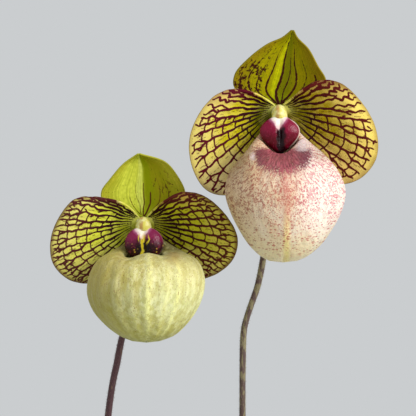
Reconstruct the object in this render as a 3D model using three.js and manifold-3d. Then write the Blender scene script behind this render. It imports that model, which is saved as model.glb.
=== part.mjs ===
// Slipper orchid with two flowers in a plain clay pot, in millimetres, with +Z up.
// The flowers face -Y. The origin is the middle of the pot's foot.
import * as THREE from 'three';
import { mergeVertices } from 'three/addons/utils/BufferGeometryUtils.js';
import Module from 'manifold-3d';

const wasm = await Module();
wasm.setup();

// Driving dimensions
const clearance = 0.35;
const potHeight = 104;
const potMouthRadius = 66;
const potFootRadius = 46;
const potWall = 4.5;
const potFloor = 7;
const potRimHeight = 22;
const potRimStep = 3.5;
const potSides = 36;
const drainCount = 4;
const drainRadius = 4.5;
const drainCircle = 26;
const mixTop = 94;
const mixMound = 3;
const growthX = { a: -38, b: 34 };
const growthHoleRadius = 7.2;
const crownTop = 78;
const crownHeight = 12;
const crownRadius = 6.6;
const rootRadius = 2.1;
const rootReach = 14;
const rootDepth = 34;
const fanAngle = THREE.MathUtils.degToRad(58);
const sheathStep = 1.55;
const leafThickness = 1.0;
const bladeThickness = 0.9;
const leafStations = 120;
const leafBend = 0.16;
const sheathWrap = 1.32;
const pouchWall = 1.1;
const stemSides = 8;
const bossRadius = 3.0;
const bossBack = 5.0;
const ovaryLength = 38;
const ovaryBack = 13;
const bractThickness = 0.7;
const bractReach = 0.5;
const clawRadius = bossRadius + clearance + 0.1;
const clawTop = THREE.MathUtils.degToRad(25);
const clawFoot = THREE.MathUtils.degToRad(130);
const petalY = 0.6;
const petalCup = 9;
const petalCurl = 1.7;
const dorsalY = 3.7;
const dorsalBackward = 5.5;
const synsepalY = 4.3;
const synsepalBackward = 2.8;
const synsepalHalf = 19;
const synsepalLean = 1.5;
const synsepalDrop = { a: 44, b: 50 };
const shieldFrontY = -14.6;
const shieldEdge = 1.2;

// Leaves of one growth, from the innermost outwards; side 1 and -1 are the two ranks of the fan
const leaves = [
  { side: 1, ring: 0, sheath: 20, rise: 70, droop: 34, length: 100, width: 27, turn: 3 },
  { side: -1, ring: 0, sheath: 17, rise: 62, droop: 14, length: 122, width: 32, turn: -4 },
  { side: 1, ring: 1, sheath: 11, rise: 50, droop: -14, length: 148, width: 38, turn: -5 },
  { side: -1, ring: 1, sheath: 8, rise: 40, droop: -22, length: 152, width: 39, turn: 5 },
  { side: 1, ring: 2, sheath: 5, rise: 30, droop: -36, length: 138, width: 38, turn: 4 },
];

// Flower a, lower left: outlines as [x, z] from the middle of the flower, the stem's path as [x, z] in
// the frame of the whole plant, and each pouch ring as its height, half width and reach
const flowerA = {
  name: 'a',
  centre: new THREE.Vector3(-16, -12, 292),
  dorsal: {
    left: [[-2.6, 3.4], [-13, 7], [-20.5, 12], [-20.7, 16.5], [-16.5, 22.3], [-10, 29.8], [-2.6, 35]],
    right: [[2.6, 3.4], [12, 7], [20, 11], [21, 16], [16.5, 25], [11, 31], [-1.4, 35]],
    fold: -6.5,
    tipHood: -8.5,
  },
  leftPetal: {
    outline: [[-14, 11.9], [-24.5, 13.6], [-34, 12.4], [-41.5, 4], [-46, -7.5], [-45, -19.5],
      [-37.5, -27.5], [-27.5, -29.8], [-18, -28]],
    edgeBow: 1.6,
  },
  rightPetal: {
    outline: [[11.5, 12], [19, 15.8], [29.5, 14.5], [40.2, 6], [47.2, -6.5], [45.5, -16.8],
      [37.5, -24.5], [27, -28], [18, -27]],
    edgeBow: 0.6,
  },
  pouch: {
    bottom: { x: 2, y: -26, z: -58.8 },
    rings: [
      { z: -58.0, width: 7, x: 1.8, front: -33, back: -19, drop: 0, rise: 0 },
      { z: -55.2, width: 13.6, x: 2.1, front: -39, back: -12, drop: 0, rise: 0 },
      { z: -50.2, width: 19.6, x: 1.7, front: -43.8, back: -8, drop: 0, rise: 0 },
      { z: -43, width: 25.2, x: 1.3, front: -47, back: -5, drop: 0, rise: 0 },
      { z: -35, width: 28.2, x: 1.5, front: -48.5, back: -3.7, drop: 0, rise: 0 },
      { z: -27.5, width: 28.5, x: 2.1, front: -47, back: -3.4, drop: 0, rise: 0 },
      { z: -21, width: 26.6, x: 2.4, front: -42.5, back: -3.4, drop: 0.5, rise: 1 },
      { z: -17, width: 23.6, x: 2.4, front: -36.5, back: -3.4, drop: 1, rise: 3 },
      { z: -14.8, width: 19.6, x: 2.2, front: -28.5, back: -3.4, drop: 1, rise: 6 },
      { z: -13.9, width: 15.2, x: 1.8, front: -22.6, back: -3.6, drop: 1, rise: 9 },
      { z: -13.9, width: 12, x: 1.0, front: -19.4, back: -4.2, drop: 1, rise: 11.05 },
      { z: -15.2, width: 9.9, x: 0.5, front: -17.6, back: -5.6, drop: 1, rise: 10.2 },
      { z: -17.6, width: 9.5, x: 0.5, front: -17.0, back: -6.2, drop: 1, rise: 9 },
    ],
    ribs: 22,
    ribHeight: 0.45,
    segments: 44,
    lip: 0.6,
  },
  shield: {
    width: 19.5,
    top: -1.5,
    bottom: -19,
    lean: 0.7,
    thickness: 4.6,
    widest: 0.5,
    pinch: 0.2,
    round: 0.85,
  },
  stem: {
    radius: 1.65,
    path: [[-38, 124], [-36.6, 160], [-33.6, 196], [-31, 214], [-29.4, 221], [-26.6, 235]],
    topLean: -4,
  },
};

// Flower b, upper right
const flowerB = {
  name: 'b',
  centre: new THREE.Vector3(52, -12, 348),
  dorsal: {
    left: [[-2.6, 3.4], [-15, 7], [-22.4, 12.5], [-22, 19], [-15.2, 26.8], [-6, 33.8],
      [1.8, 37.4], [6.3, 41]],
    right: [[2.6, 3.4], [13, 7], [22.5, 11.5], [23.4, 16.2], [19.5, 23], [14.8, 31.6],
      [9.4, 37.2], [7.4, 41]],
    fold: -7,
    tipHood: -4,
  },
  leftPetal: {
    outline: [[-14.5, 10.2], [-22.5, 11.5], [-31.5, 8.4], [-40, -1], [-44.8, -14], [-43.3, -28],
      [-36.5, -38.9], [-27, -41.7], [-18, -38]],
    edgeBow: 0.6,
  },
  rightPetal: {
    outline: [[13, 12.4], [20, 15.6], [30, 14.6], [41, 5], [48.4, -9], [48.6, -23], [41.5, -32.6],
      [32, -36.2], [20, -35]],
    edgeBow: -0.4,
  },
  pouch: {
    bottom: { x: 1.5, y: -27, z: -75 },
    rings: [
      { z: -74.2, width: 7, x: 1.8, front: -34, back: -19, drop: 0, rise: 0 },
      { z: -71.6, width: 12, x: 2.2, front: -40, back: -13, drop: 0, rise: 0 },
      { z: -66.5, width: 17.6, x: 2.6, front: -45.5, back: -8.5, drop: 0, rise: 0 },
      { z: -59.5, width: 22.5, x: 2.9, front: -49.8, back: -5.5, drop: 0, rise: 0 },
      { z: -50, width: 27.4, x: 3.1, front: -52.5, back: -4, drop: 0, rise: 0 },
      { z: -40, width: 29.8, x: 2.8, front: -52, back: -3.5, drop: 0, rise: 0 },
      { z: -31, width: 27.5, x: 2.4, front: -47.5, back: -3.4, drop: 1, rise: 0 },
      { z: -24, width: 22.6, x: 2.2, front: -40.5, back: -3.4, drop: 2.5, rise: 2 },
      { z: -18.5, width: 17.4, x: 1.8, front: -30.5, back: -3.4, drop: 4.5, rise: 5 },
      { z: -15, width: 13.6, x: 0.8, front: -22.8, back: -3.6, drop: 6.6, rise: 9 },
      { z: -13.6, width: 11.3, x: 0.5, front: -19.6, back: -4.2, drop: 7.4, rise: 10.7 },
      { z: -14.8, width: 9.9, x: 0.4, front: -17.8, back: -5.6, drop: 7.6, rise: 10 },
      { z: -17.4, width: 9.5, x: 0.4, front: -17.2, back: -6.2, drop: 7.2, rise: 9 },
    ],
    ribs: 0,
    ribHeight: 0,
    segments: 30,
    lip: 2,
  },
  shield: {
    width: 20,
    top: -1.5,
    bottom: -21.2,
    lean: 0.3,
    thickness: 4.6,
    widest: 0.42,
    pinch: 0.5,
    round: 1.2,
  },
  stem: {
    radius: 1.55,
    path: [[34, 124], [33.8, 165], [33.8, 196], [33.9, 220.5], [34.5, 238.5], [36, 245], [38.5, 252.5],
      [41, 259.5], [42.8, 267], [44.1, 274.2]],
    topLean: -2,
  },
};

// Helpers

function smooth(t) {
  const c = THREE.MathUtils.clamp(t, 0, 1);
  return c * c * (3 - 2 * c);
}

// A closed geometry from shared points and triangles, turned so that its faces point out
function closedGeometry(points, triangles) {
  let volume = 0;
  for (const [a, b, c] of triangles) {
    volume += points[a].dot(new THREE.Vector3().crossVectors(points[b], points[c]));
  }
  const geometry = new THREE.BufferGeometry();
  geometry.setAttribute('position', new THREE.Float32BufferAttribute(points.flatMap((p) => p.toArray()), 3));
  geometry.setIndex(triangles.flatMap(([a, b, c]) => (volume > 0 ? [a, b, c] : [a, c, b])));
  return geometry;
}

// A thin blade: surface(u, v) is its middle, thickness(u, v) its local thickness
function bladeGeometry(surface, alongCount, acrossCount, thickness) {
  const step = 1e-3;
  const points = [];
  for (const face of [0.5, -0.5]) {
    for (let i = 0; i <= alongCount; i += 1) {
      for (let j = 0; j <= acrossCount; j += 1) {
        const u = i / alongCount;
        const v = j / acrossCount;
        const du = surface(Math.min(u + step, 1), v).sub(surface(Math.max(u - step, 0), v));
        const dv = surface(u, Math.min(v + step, 1)).sub(surface(u, Math.max(v - step, 0)));
        const normal = du.cross(dv).normalize();
        points.push(surface(u, v).addScaledVector(normal, face * thickness(u, v)));
      }
    }
  }
  const row = acrossCount + 1;
  const backStart = (alongCount + 1) * row;
  const triangles = [];
  for (let i = 0; i < alongCount; i += 1) {
    for (let j = 0; j < acrossCount; j += 1) {
      const corner = i * row + j;
      const quad = [corner, corner + 1, corner + row + 1, corner + row];
      triangles.push([quad[0], quad[1], quad[2]], [quad[0], quad[2], quad[3]]);
      const back = quad.map((k) => k + backStart);
      triangles.push([back[0], back[2], back[1]], [back[0], back[3], back[2]]);
    }
  }
  const rim = [];
  for (let j = 0; j < acrossCount; j += 1) rim.push(j);
  for (let i = 0; i < alongCount; i += 1) rim.push(i * row + acrossCount);
  for (let j = acrossCount; j > 0; j -= 1) rim.push(alongCount * row + j);
  for (let i = alongCount; i > 0; i -= 1) rim.push(i * row);
  rim.forEach((k, index) => {
    const next = rim[(index + 1) % rim.length];
    triangles.push([k, k + backStart, next + backStart], [k, next + backStart, next]);
  });
  return closedGeometry(points, triangles);
}

// A closed body through rings of points; start and end are single points that close it
function loftGeometry(start, rings, end) {
  const count = rings[0].length;
  const points = [start, ...rings.flat(), end];
  const triangles = [];
  const at = (ring, side) => 1 + ring * count + (side % count);
  for (let side = 0; side < count; side += 1) {
    triangles.push([0, at(0, side + 1), at(0, side)]);
    for (let ring = 0; ring < rings.length - 1; ring += 1) {
      triangles.push([at(ring, side), at(ring, side + 1), at(ring + 1, side + 1)]);
      triangles.push([at(ring, side), at(ring + 1, side + 1), at(ring + 1, side)]);
    }
    triangles.push([points.length - 1, at(rings.length - 1, side), at(rings.length - 1, side + 1)]);
  }
  return closedGeometry(points, triangles);
}

// A body of revolution about Z from [radius, z] pairs that start and end on the axis
function turnedGeometry(profile, sides) {
  const lathe = new THREE.LatheGeometry(profile.map(([r, z]) => new THREE.Vector2(r, z)), sides);
  return lathe.rotateX(Math.PI / 2);
}

function toSolid(geometry) {
  const bare = geometry.clone();
  bare.deleteAttribute('normal');
  bare.deleteAttribute('uv');
  const merged = mergeVertices(bare, 1e-4);
  const index = merged.index.array;
  const kept = [];
  for (let i = 0; i < index.length; i += 3) {
    const [a, b, c] = [index[i], index[i + 1], index[i + 2]];
    if (a !== b && b !== c && a !== c) kept.push(a, b, c);
  }
  const mesh = new wasm.Mesh({
    numProp: 3,
    vertProperties: new Float32Array(merged.attributes.position.array),
    triVerts: new Uint32Array(kept),
  });
  return new wasm.Manifold(mesh);
}

function fromSolid(solid) {
  const result = solid.getMesh();
  const geometry = new THREE.BufferGeometry();
  geometry.setAttribute('position', new THREE.Float32BufferAttribute(result.vertProperties, 3));
  geometry.setIndex([...result.triVerts]);
  return geometry;
}

function planeCurve(pairs, y = 0) {
  return new THREE.CatmullRomCurve3(pairs.map(([x, z]) => new THREE.Vector3(x, y, z)), false, 'centripetal');
}

// Rings across a path, with a radius for each step; squash flattens them along the second axis
function tubeGeometry(curve, steps, sides, radiusAt, squash = 1) {
  const frames = curve.computeFrenetFrames(steps, false);
  const rings = [];
  for (let i = 0; i <= steps; i += 1) {
    const middle = curve.getPointAt(i / steps);
    const ring = [];
    for (let k = 0; k < sides; k += 1) {
      const angle = (2 * Math.PI * k) / sides;
      const radius = radiusAt(i / steps, angle);
      ring.push(middle.clone()
        .addScaledVector(frames.normals[i], radius * Math.cos(angle))
        .addScaledVector(frames.binormals[i], squash * radius * Math.sin(angle)));
    }
    rings.push(ring);
  }
  return loftGeometry(curve.getPointAt(0), rings, curve.getPointAt(1));
}

// Pot

function potGeometry() {
  const outerAt = (z) => THREE.MathUtils.lerp(potFootRadius, potMouthRadius - potRimStep, z / potHeight);
  const rimFoot = potHeight - potRimHeight;
  const profile = [
    [0, 0],
    [potFootRadius - 1.5, 0],
    [potFootRadius, 1.5],
    [outerAt(rimFoot), rimFoot],
    [outerAt(rimFoot) + potRimStep, rimFoot + 2],
    [potMouthRadius, potHeight - 1.5],
    [potMouthRadius - 1.5, potHeight],
    [potMouthRadius - potRimStep - potWall + 1.5, potHeight],
    [outerAt(potHeight) - potWall, potHeight - 1.5],
    [outerAt(potFloor) - potWall, potFloor],
    [0, potFloor],
  ];
  let solid = toSolid(turnedGeometry(profile, potSides));
  for (let k = 0; k < drainCount; k += 1) {
    const angle = (2 * Math.PI * (k + 0.5)) / drainCount;
    const drain = new THREE.CylinderGeometry(drainRadius, drainRadius, 4 * potFloor, 12);
    drain.rotateX(Math.PI / 2);
    drain.translate(drainCircle * Math.cos(angle), drainCircle * Math.sin(angle), 0);
    solid = solid.subtract(toSolid(drain));
  }
  return fromSolid(solid);
}

// Crown and roots

function rootCurve(growth, k) {
  const angle = fanAngle + Math.PI / 4 + (Math.PI / 2) * k;
  const dir = new THREE.Vector3(Math.cos(angle), Math.sin(angle), 0);
  // Each root starts in the crown and bends down and in towards the middle of the pot
  const place = (inward, reach, depth) => new THREE.Vector3(
    growthX[growth] * (1 - inward),
    0,
    crownTop - crownHeight + 4 - depth,
  ).addScaledVector(dir, reach);
  return new THREE.CatmullRomCurve3([
    place(0, 3, 0),
    place(0, crownRadius + 1, 3),
    place(0.15, rootReach * 0.8, rootDepth * 0.45),
    place(0.3, rootReach, rootDepth),
  ]);
}

function crownBody(growth, grow) {
  const bottom = crownTop - crownHeight;
  const crown = turnedGeometry([
    [0, bottom - grow],
    [crownRadius * 0.6 + grow, bottom - grow],
    [crownRadius + grow, bottom + 3],
    [crownRadius + grow, crownTop],
    [0, crownTop],
  ], 14);
  crown.translate(growthX[growth], 0, 0);
  let solid = toSolid(crown);
  for (let k = 0; k < 4; k += 1) {
    const radius = (t) => (rootRadius + grow) * (1 - 0.35 * t);
    solid = solid.add(toSolid(tubeGeometry(rootCurve(growth, k), 4, 5, radius)));
  }
  return solid;
}

// Potting mix: fills the pot, with a low mound and lumps of bark, a hole for each growth and the
// room that its crown and roots take

function mixGeometry() {
  const outerAt = (z) => THREE.MathUtils.lerp(potFootRadius, potMouthRadius - potRimStep, z / potHeight)
    - potWall - clearance / Math.cos(Math.PI / potSides) - 0.3;
  const bottom = potFloor + clearance;
  const rings = [];
  const ringAt = (radius, z) => {
    const ring = [];
    for (let k = 0; k < potSides; k += 1) {
      const angle = (2 * Math.PI * k) / potSides;
      ring.push(new THREE.Vector3(radius * Math.sin(angle), radius * Math.cos(angle), z(angle)));
    }
    rings.push(ring);
  };
  ringAt(outerAt(bottom), () => bottom);
  ringAt(outerAt(mixTop - 2), () => mixTop - 2);
  const topRings = 6;
  for (let i = 0; i < topRings; i += 1) {
    const share = 1 - (i + 0.25) / topRings;
    const radius = outerAt(mixTop) * share;
    const lump = (angle) => 1.1 * Math.sin(5.3 * angle + 2.1 * i) * Math.sin(3 * angle + 1.7 * i * i)
      + 0.7 * Math.sin(11 * angle + i * 4.4);
    const mound = mixTop + mixMound * (1 - share * share);
    ringAt(radius, (angle) => mound + Math.min(share * 1.6, 1) * lump(angle));
  }
  let solid = toSolid(loftGeometry(new THREE.Vector3(0, 0, bottom), rings,
    new THREE.Vector3(0, 0, mixTop + mixMound)));
  for (const growth of ['a', 'b']) {
    const hole = new THREE.CylinderGeometry(growthHoleRadius, growthHoleRadius, 60, 20);
    hole.rotateX(Math.PI / 2);
    hole.translate(growthX[growth], 0, crownTop + 30 - 0.5);
    solid = solid.subtract(toSolid(hole)).subtract(crownBody(growth, clearance));
  }
  return fromSolid(solid);
}

// Leaves: a sheath round the stem that opens into an arching, channelled strap

function leafGeometry(growth, leaf) {
  const base = crownTop + clearance;
  const stemRoom = flowerA.stem.radius + clearance;
  const radius = stemRoom + leafThickness / 2 + leaf.ring * sheathStep;
  const azimuth = fanAngle + (leaf.side > 0 ? 0 : Math.PI) + THREE.MathUtils.degToRad(leaf.turn);
  const out = new THREE.Vector3(Math.cos(azimuth), Math.sin(azimuth), 0);
  const across = new THREE.Vector3(-Math.sin(azimuth), Math.cos(azimuth), 0);
  const up = new THREE.Vector3(0, 0, 1);
  const sheathEnd = (mixTop - base + leaf.sheath) / (mixTop - base + leaf.length);
  const total = mixTop - base + leaf.length;
  const riseAt = (s) => {
    if (s < sheathEnd) return 90;
    const turned = THREE.MathUtils.lerp(90, leaf.rise, smooth((s - sheathEnd) / leafBend));
    const free = THREE.MathUtils.clamp((s - sheathEnd - leafBend) / (1 - sheathEnd - leafBend), 0, 1);
    return turned + (leaf.droop - leaf.rise) * free ** 1.25;
  };
  const track = [{ d: radius, z: base, rise: 90 }];
  for (let k = 1; k <= leafStations; k += 1) {
    const rise = THREE.MathUtils.degToRad(riseAt((k - 0.5) / leafStations));
    const last = track[k - 1];
    track.push({
      d: last.d + (Math.cos(rise) * total) / leafStations,
      z: last.z + (Math.sin(rise) * total) / leafStations,
      rise: riseAt(k / leafStations),
    });
  }
  const stationAt = (s) => {
    const place = THREE.MathUtils.clamp(s, 0, 1) * leafStations;
    const k = Math.min(Math.floor(place), leafStations - 1);
    const f = place - k;
    const [p, q] = [track[k], track[k + 1]];
    return {
      d: THREE.MathUtils.lerp(p.d, q.d, f),
      z: THREE.MathUtils.lerp(p.z, q.z, f),
      rise: THREE.MathUtils.degToRad(THREE.MathUtils.lerp(p.rise, q.rise, f)),
    };
  };
  const surface = (u, v) => {
    const place = stationAt(u);
    const open = smooth((u - sheathEnd) / 0.24);
    const free = THREE.MathUtils.clamp((u - sheathEnd) / (1 - sheathEnd), 0, 1);
    const taper = Math.sqrt(Math.max(1 - free ** 3.2, 0)) * (0.82 + 0.18 * Math.sin(Math.PI * free));
    const strap = (leaf.width / 2) * taper;
    const half = THREE.MathUtils.lerp(radius * sheathWrap, strap, open) + (free > 0.97 ? 0.7 : 0);
    let alpha = THREE.MathUtils.lerp(sheathWrap, 0.42 - 0.25 * free, smooth((u - sheathEnd) / leafBend));
    const room = THREE.MathUtils.lerp(radius, place.d * 0.55, smooth((u - sheathEnd) / 0.08));
    while (alpha > 0.05 && (half / alpha) * (1 - Math.cos(alpha)) > room) alpha -= 0.01;
    const bow = half / alpha;
    const beta = (2 * v - 1) * alpha;
    const inward = out.clone()
      .multiplyScalar(-Math.sin(place.rise))
      .addScaledVector(up, Math.cos(place.rise));
    return new THREE.Vector3(growthX[growth], 0, place.z)
      .addScaledVector(out, place.d)
      .addScaledVector(across, bow * Math.sin(beta))
      .addScaledVector(inward, bow * (1 - Math.cos(beta)));
  };
  return bladeGeometry(surface, 13, 4, () => leafThickness);
}

// Flower stems, ovaries and bracts

function stemTop(flower) {
  return flower.centre.clone().add(new THREE.Vector3(flower.stem.topLean, ovaryBack, -ovaryLength + 2));
}

function stemCurve(flower) {
  const foot = new THREE.Vector3(growthX[flower.name], 0, crownTop + clearance);
  const path = flower.stem.path.map(([x, z]) => new THREE.Vector3(x, 0, z));
  return new THREE.CatmullRomCurve3([foot, ...path, stemTop(flower)], false, 'centripetal');
}

function stemGeometry(flower) {
  const section = [];
  for (let k = 0; k < stemSides; k += 1) {
    const angle = (2 * Math.PI * k) / stemSides;
    section.push(new THREE.Vector2(
      flower.stem.radius * Math.cos(angle),
      flower.stem.radius * Math.sin(angle),
    ));
  }
  return new THREE.ExtrudeGeometry(new THREE.Shape(section), {
    steps: 26,
    bevelEnabled: false,
    extrudePath: stemCurve(flower),
  });
}

function ovaryCurve(flower) {
  const foot = stemTop(flower);
  const tangent = stemCurve(flower).getTangentAt(1);
  const start = foot.clone().addScaledVector(tangent, clearance);
  const end = flower.centre.clone().add(new THREE.Vector3(0, bossBack + clearance, 0));
  const rise = end.z - start.z;
  return new THREE.CatmullRomCurve3([
    start,
    start.clone().addScaledVector(tangent, rise * 0.35),
    new THREE.Vector3(end.x - 0.6, end.y + 7, start.z + rise * 0.82),
    end.clone().add(new THREE.Vector3(0, 3, -0.4)),
    end.clone().add(new THREE.Vector3(0, 1, 0)),
    end,
  ], false, 'centripetal');
}

function ovaryRadius(t, angle = 0) {
  const swell = 1.75 + 0.75 * Math.sin(Math.PI * Math.min(t * 1.15, 1)) + 0.9 * smooth((t - 0.8) / 0.2);
  return swell * (1 + 0.07 * Math.cos(3 * angle));
}

function ovaryGeometry(flower) {
  return tubeGeometry(ovaryCurve(flower), 11, 9, ovaryRadius);
}

function bractGeometry(flower) {
  const curve = ovaryCurve(flower);
  const surface = (u, v) => {
    const middle = curve.getPointAt(u * bractReach);
    const tangent = curve.getTangentAt(u * bractReach);
    const back = new THREE.Vector3(0, 1, 0).addScaledVector(tangent, -tangent.y).normalize();
    const side = new THREE.Vector3().crossVectors(tangent, back);
    const open = 1 + 1.1 * u ** 2.4;
    const radius = (2.75 + clearance + 0.45) * open;
    const spread = 1.9 * (1 - 0.55 * u ** 3) * (1 - 0.62 * smooth((u - 0.55) / 0.45));
    const angle = (2 * v - 1) * spread;
    return middle.addScaledVector(back, radius * Math.cos(angle))
      .addScaledVector(side, radius * Math.sin(angle));
  };
  return bladeGeometry(surface, 6, 6, () => bractThickness);
}

// Sepals and petals

function sepalSurface(flower, spec, baseY, backward) {
  const left = planeCurve(spec.left);
  const right = planeCurve(spec.right);
  return (u, v) => {
    const p = left.getPointAt(u);
    const q = right.getPointAt(u);
    const point = p.clone().lerp(q, v);
    const side = 2 * v - 1;
    const width = p.distanceTo(q) / 40;
    point.y = baseY + backward * Math.sin(u * Math.PI * 0.55) + spec.tipHood * u ** 3
      + spec.fold * side * side * width * smooth((u - 0.1) / 0.7);
    return point.add(flower.centre);
  };
}

function dorsalGeometry(flower) {
  const surface = sepalSurface(flower, flower.dorsal, dorsalY, dorsalBackward);
  return bladeGeometry(surface, 10, 8, (u) => bladeThickness + 0.8 * (1 - u) ** 4);
}

function synsepalSpec(flower) {
  const drop = synsepalDrop[flower.name];
  const half = synsepalHalf;
  const lean = synsepalLean;
  return {
    left: [[-2.4, -3.4], [-12, -9], [-half, -20], [-half + 2, -33], [-8, -drop + 4], [lean - 0.8, -drop]],
    right: [[2.4, -3.4], [12, -9], [half + lean, -20], [half + lean - 2, -33], [9.5, -drop + 4],
      [lean + 0.8, -drop]],
    fold: -2.4,
    tipHood: -1.2,
  };
}

function synsepalGeometry(flower) {
  const surface = sepalSurface(flower, synsepalSpec(flower), synsepalY, synsepalBackward);
  return bladeGeometry(surface, 8, 6, (u) => bladeThickness + 0.4 * (1 - u) ** 4);
}

// A petal grows from a claw round the boss, cups forward, and bends back at its margin
function petalSurface(flower, spec, side) {
  const outline = planeCurve(spec.outline);
  return (u, v) => {
    const turn = THREE.MathUtils.lerp(clawTop, clawFoot, v);
    const root = new THREE.Vector3(side * clawRadius * Math.sin(turn), 0, clawRadius * Math.cos(turn));
    const point = root.lerp(outline.getPointAt(v), u);
    point.z += spec.edgeBow * Math.sin(Math.PI * u) * (1 - v) ** 4;
    const cup = petalCup * (1 - 0.7 * smooth((v - 0.5) / 0.4)) * Math.sin((Math.PI / 2) * u) ** 1.7;
    const curl = petalCurl * smooth((u - 0.78) / 0.22);
    const wave = 0.6 * u ** 3 * Math.sin(v * 17 + side) * (1 - smooth((v - 0.75) / 0.25));
    point.y = petalY - cup + curl + wave;
    return point.add(flower.centre);
  };
}

function petalGeometry(flower, spec, side) {
  const surface = petalSurface(flower, spec, side);
  return bladeGeometry(surface, 7, 13, (u) => bladeThickness + 0.9 * (1 - u) ** 5);
}

// Pouch: a hollow slipper with an inrolled mouth under the shield

function pouchPoint(flower, t, angle) {
  const { rings, ribs, ribHeight, lip } = flower.pouch;
  const place = t * (rings.length - 1);
  const k = Math.min(Math.floor(place), rings.length - 2);
  const f = place - k;
  const [p, q] = [rings[k], rings[k + 1]];
  const mix = (key) => THREE.MathUtils.lerp(p[key], q[key], f);
  const toFront = Math.cos(angle);
  const middle = (mix('front') + mix('back')) / 2;
  const depth = (mix('back') - mix('front')) / 2;
  const body = Math.sin(Math.PI * Math.min(t * 1.25, 1)) ** 0.8;
  const rib = ribs > 0 ? (ribHeight * Math.cos(ribs * angle) * body) / mix('width') : 0;
  const shift = toFront > 0 ? -mix('drop') * toFront ** (1 + lip) : mix('rise') * (-toFront) ** 1.6;
  const narrow = toFront < 0 ? 1 - 0.25 * toFront * toFront * (mix('rise') / 12) : 1;
  return new THREE.Vector3(
    mix('x') + mix('width') * Math.sin(angle) * (1 + rib) * narrow,
    middle - depth * toFront * (1 + rib),
    mix('z') + shift,
  ).add(flower.centre);
}

function pouchGeometry(flower) {
  const { rings, segments, bottom } = flower.pouch;
  const pole = new THREE.Vector3(bottom.x, bottom.y, bottom.z).add(flower.centre);
  const outer = [];
  const inner = [];
  const step = 2e-3;
  for (let i = 0; i < rings.length; i += 1) {
    const t = i / (rings.length - 1);
    outer.push([]);
    inner.push([]);
    for (let k = 0; k < segments; k += 1) {
      const angle = (2 * Math.PI * k) / segments;
      const point = pouchPoint(flower, t, angle);
      const alongA = pouchPoint(flower, Math.min(t + 0.5 / rings.length, 1), angle);
      const alongB = i === 0 ? pole : pouchPoint(flower, t - 0.5 / rings.length, angle);
      const round = pouchPoint(flower, t, angle + step).sub(pouchPoint(flower, t, angle - step));
      const normal = round.cross(alongA.clone().sub(alongB)).normalize();
      outer[i].push(point);
      inner[i].push(point.clone().addScaledVector(normal, -pouchWall));
    }
  }
  const innerPole = pole.clone().add(new THREE.Vector3(0, 0, pouchWall));
  return loftGeometry(pole, [...outer, ...inner.reverse()], innerPole);
}

// Column: a round boss that carries the flower's parts, a short neck and the domed, two-lobed shield

function shieldGeometry(flower) {
  const { width, top, bottom, lean, thickness, widest: widestShare, pinch, round } = flower.shield;
  const widest = top - (top - bottom) * widestShare;
  const sides = 24;
  const ringsOut = 4;
  const outline = (angle) => {
    const across = Math.sign(Math.sin(angle)) * Math.abs(Math.sin(angle)) ** round;
    const upward = Math.cos(angle);
    const reach = upward > 0 ? top - widest : widest - bottom;
    const narrow = upward < 0 ? 1 - pinch * upward * upward : 1;
    return [lean + (width / 2) * across * narrow, widest + reach * upward];
  };
  const backY = shieldFrontY + thickness;
  const point = (share, angle, front) => {
    const [x, z] = outline(angle);
    const px = lean + (x - lean) * share;
    const pz = widest + (z - widest) * share;
    const groove = 1.3 * Math.exp(-(((px - lean) / 1.5) ** 2)) * smooth(1.2 - share);
    const bulge = (thickness - shieldEdge) * Math.sqrt(Math.max(1 - share ** 2.4, 0)) - groove;
    const tilt = (pz - widest) * 0.12;
    const y = front ? backY - shieldEdge - Math.max(bulge, 0) + tilt : backY + tilt;
    return new THREE.Vector3(px, y, pz).add(flower.centre);
  };
  const rings = [];
  for (let i = 1; i <= ringsOut; i += 1) {
    rings.push([...Array(sides).keys()].map((k) => point(i / ringsOut, (2 * Math.PI * k) / sides, true)));
  }
  rings.push([...Array(sides).keys()].map((k) => point(1, (2 * Math.PI * k) / sides, false)));
  return loftGeometry(point(0, 0, true), rings, point(0, 0, false));
}

function columnGeometry(flower) {
  const spine = new THREE.CatmullRomCurve3([
    new THREE.Vector3(0, bossBack, 0),
    new THREE.Vector3(0, 0, 0),
    new THREE.Vector3(0, -5, 0.2),
    new THREE.Vector3(flower.shield.lean * 0.6, -9.4, -1.9),
    new THREE.Vector3(flower.shield.lean, -12, -6),
  ].map((p) => p.add(flower.centre)));
  const neck = tubeGeometry(spine, 8, 14, (t) => bossRadius - 0.4 * smooth((t - 0.35) / 0.25));
  return fromSolid(toSolid(neck).add(toSolid(shieldGeometry(flower))));
}

// Assembly

const finishes = {
  clay: { color: 0xb5693f, roughness: 0.85 },
  bark: { color: 0x5b3d28, roughness: 0.95 },
  leaf: { color: 0x4f7a3a, roughness: 0.45 },
  stem: { color: 0x5e3c3a, roughness: 0.7 },
  ovary: { color: 0x7d8a4a, roughness: 0.7 },
  root: { color: 0xa98f6b, roughness: 0.9 },
  sepal: { color: 0x9aa81f, roughness: 0.5 },
  petal: { color: 0xc9b84d, roughness: 0.5 },
  greenPouch: { color: 0xd3cf83, roughness: 0.4 },
  pinkPouch: { color: 0xe6cfc0, roughness: 0.4 },
  shield: { color: 0x6d1238, roughness: 0.2 },
};

const plant = new THREE.Group();

function add(name, geometry, finish) {
  const mesh = new THREE.Mesh(geometry, new THREE.MeshStandardMaterial({ ...finish, metalness: 0 }));
  mesh.name = name;
  plant.add(mesh);
}

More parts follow.
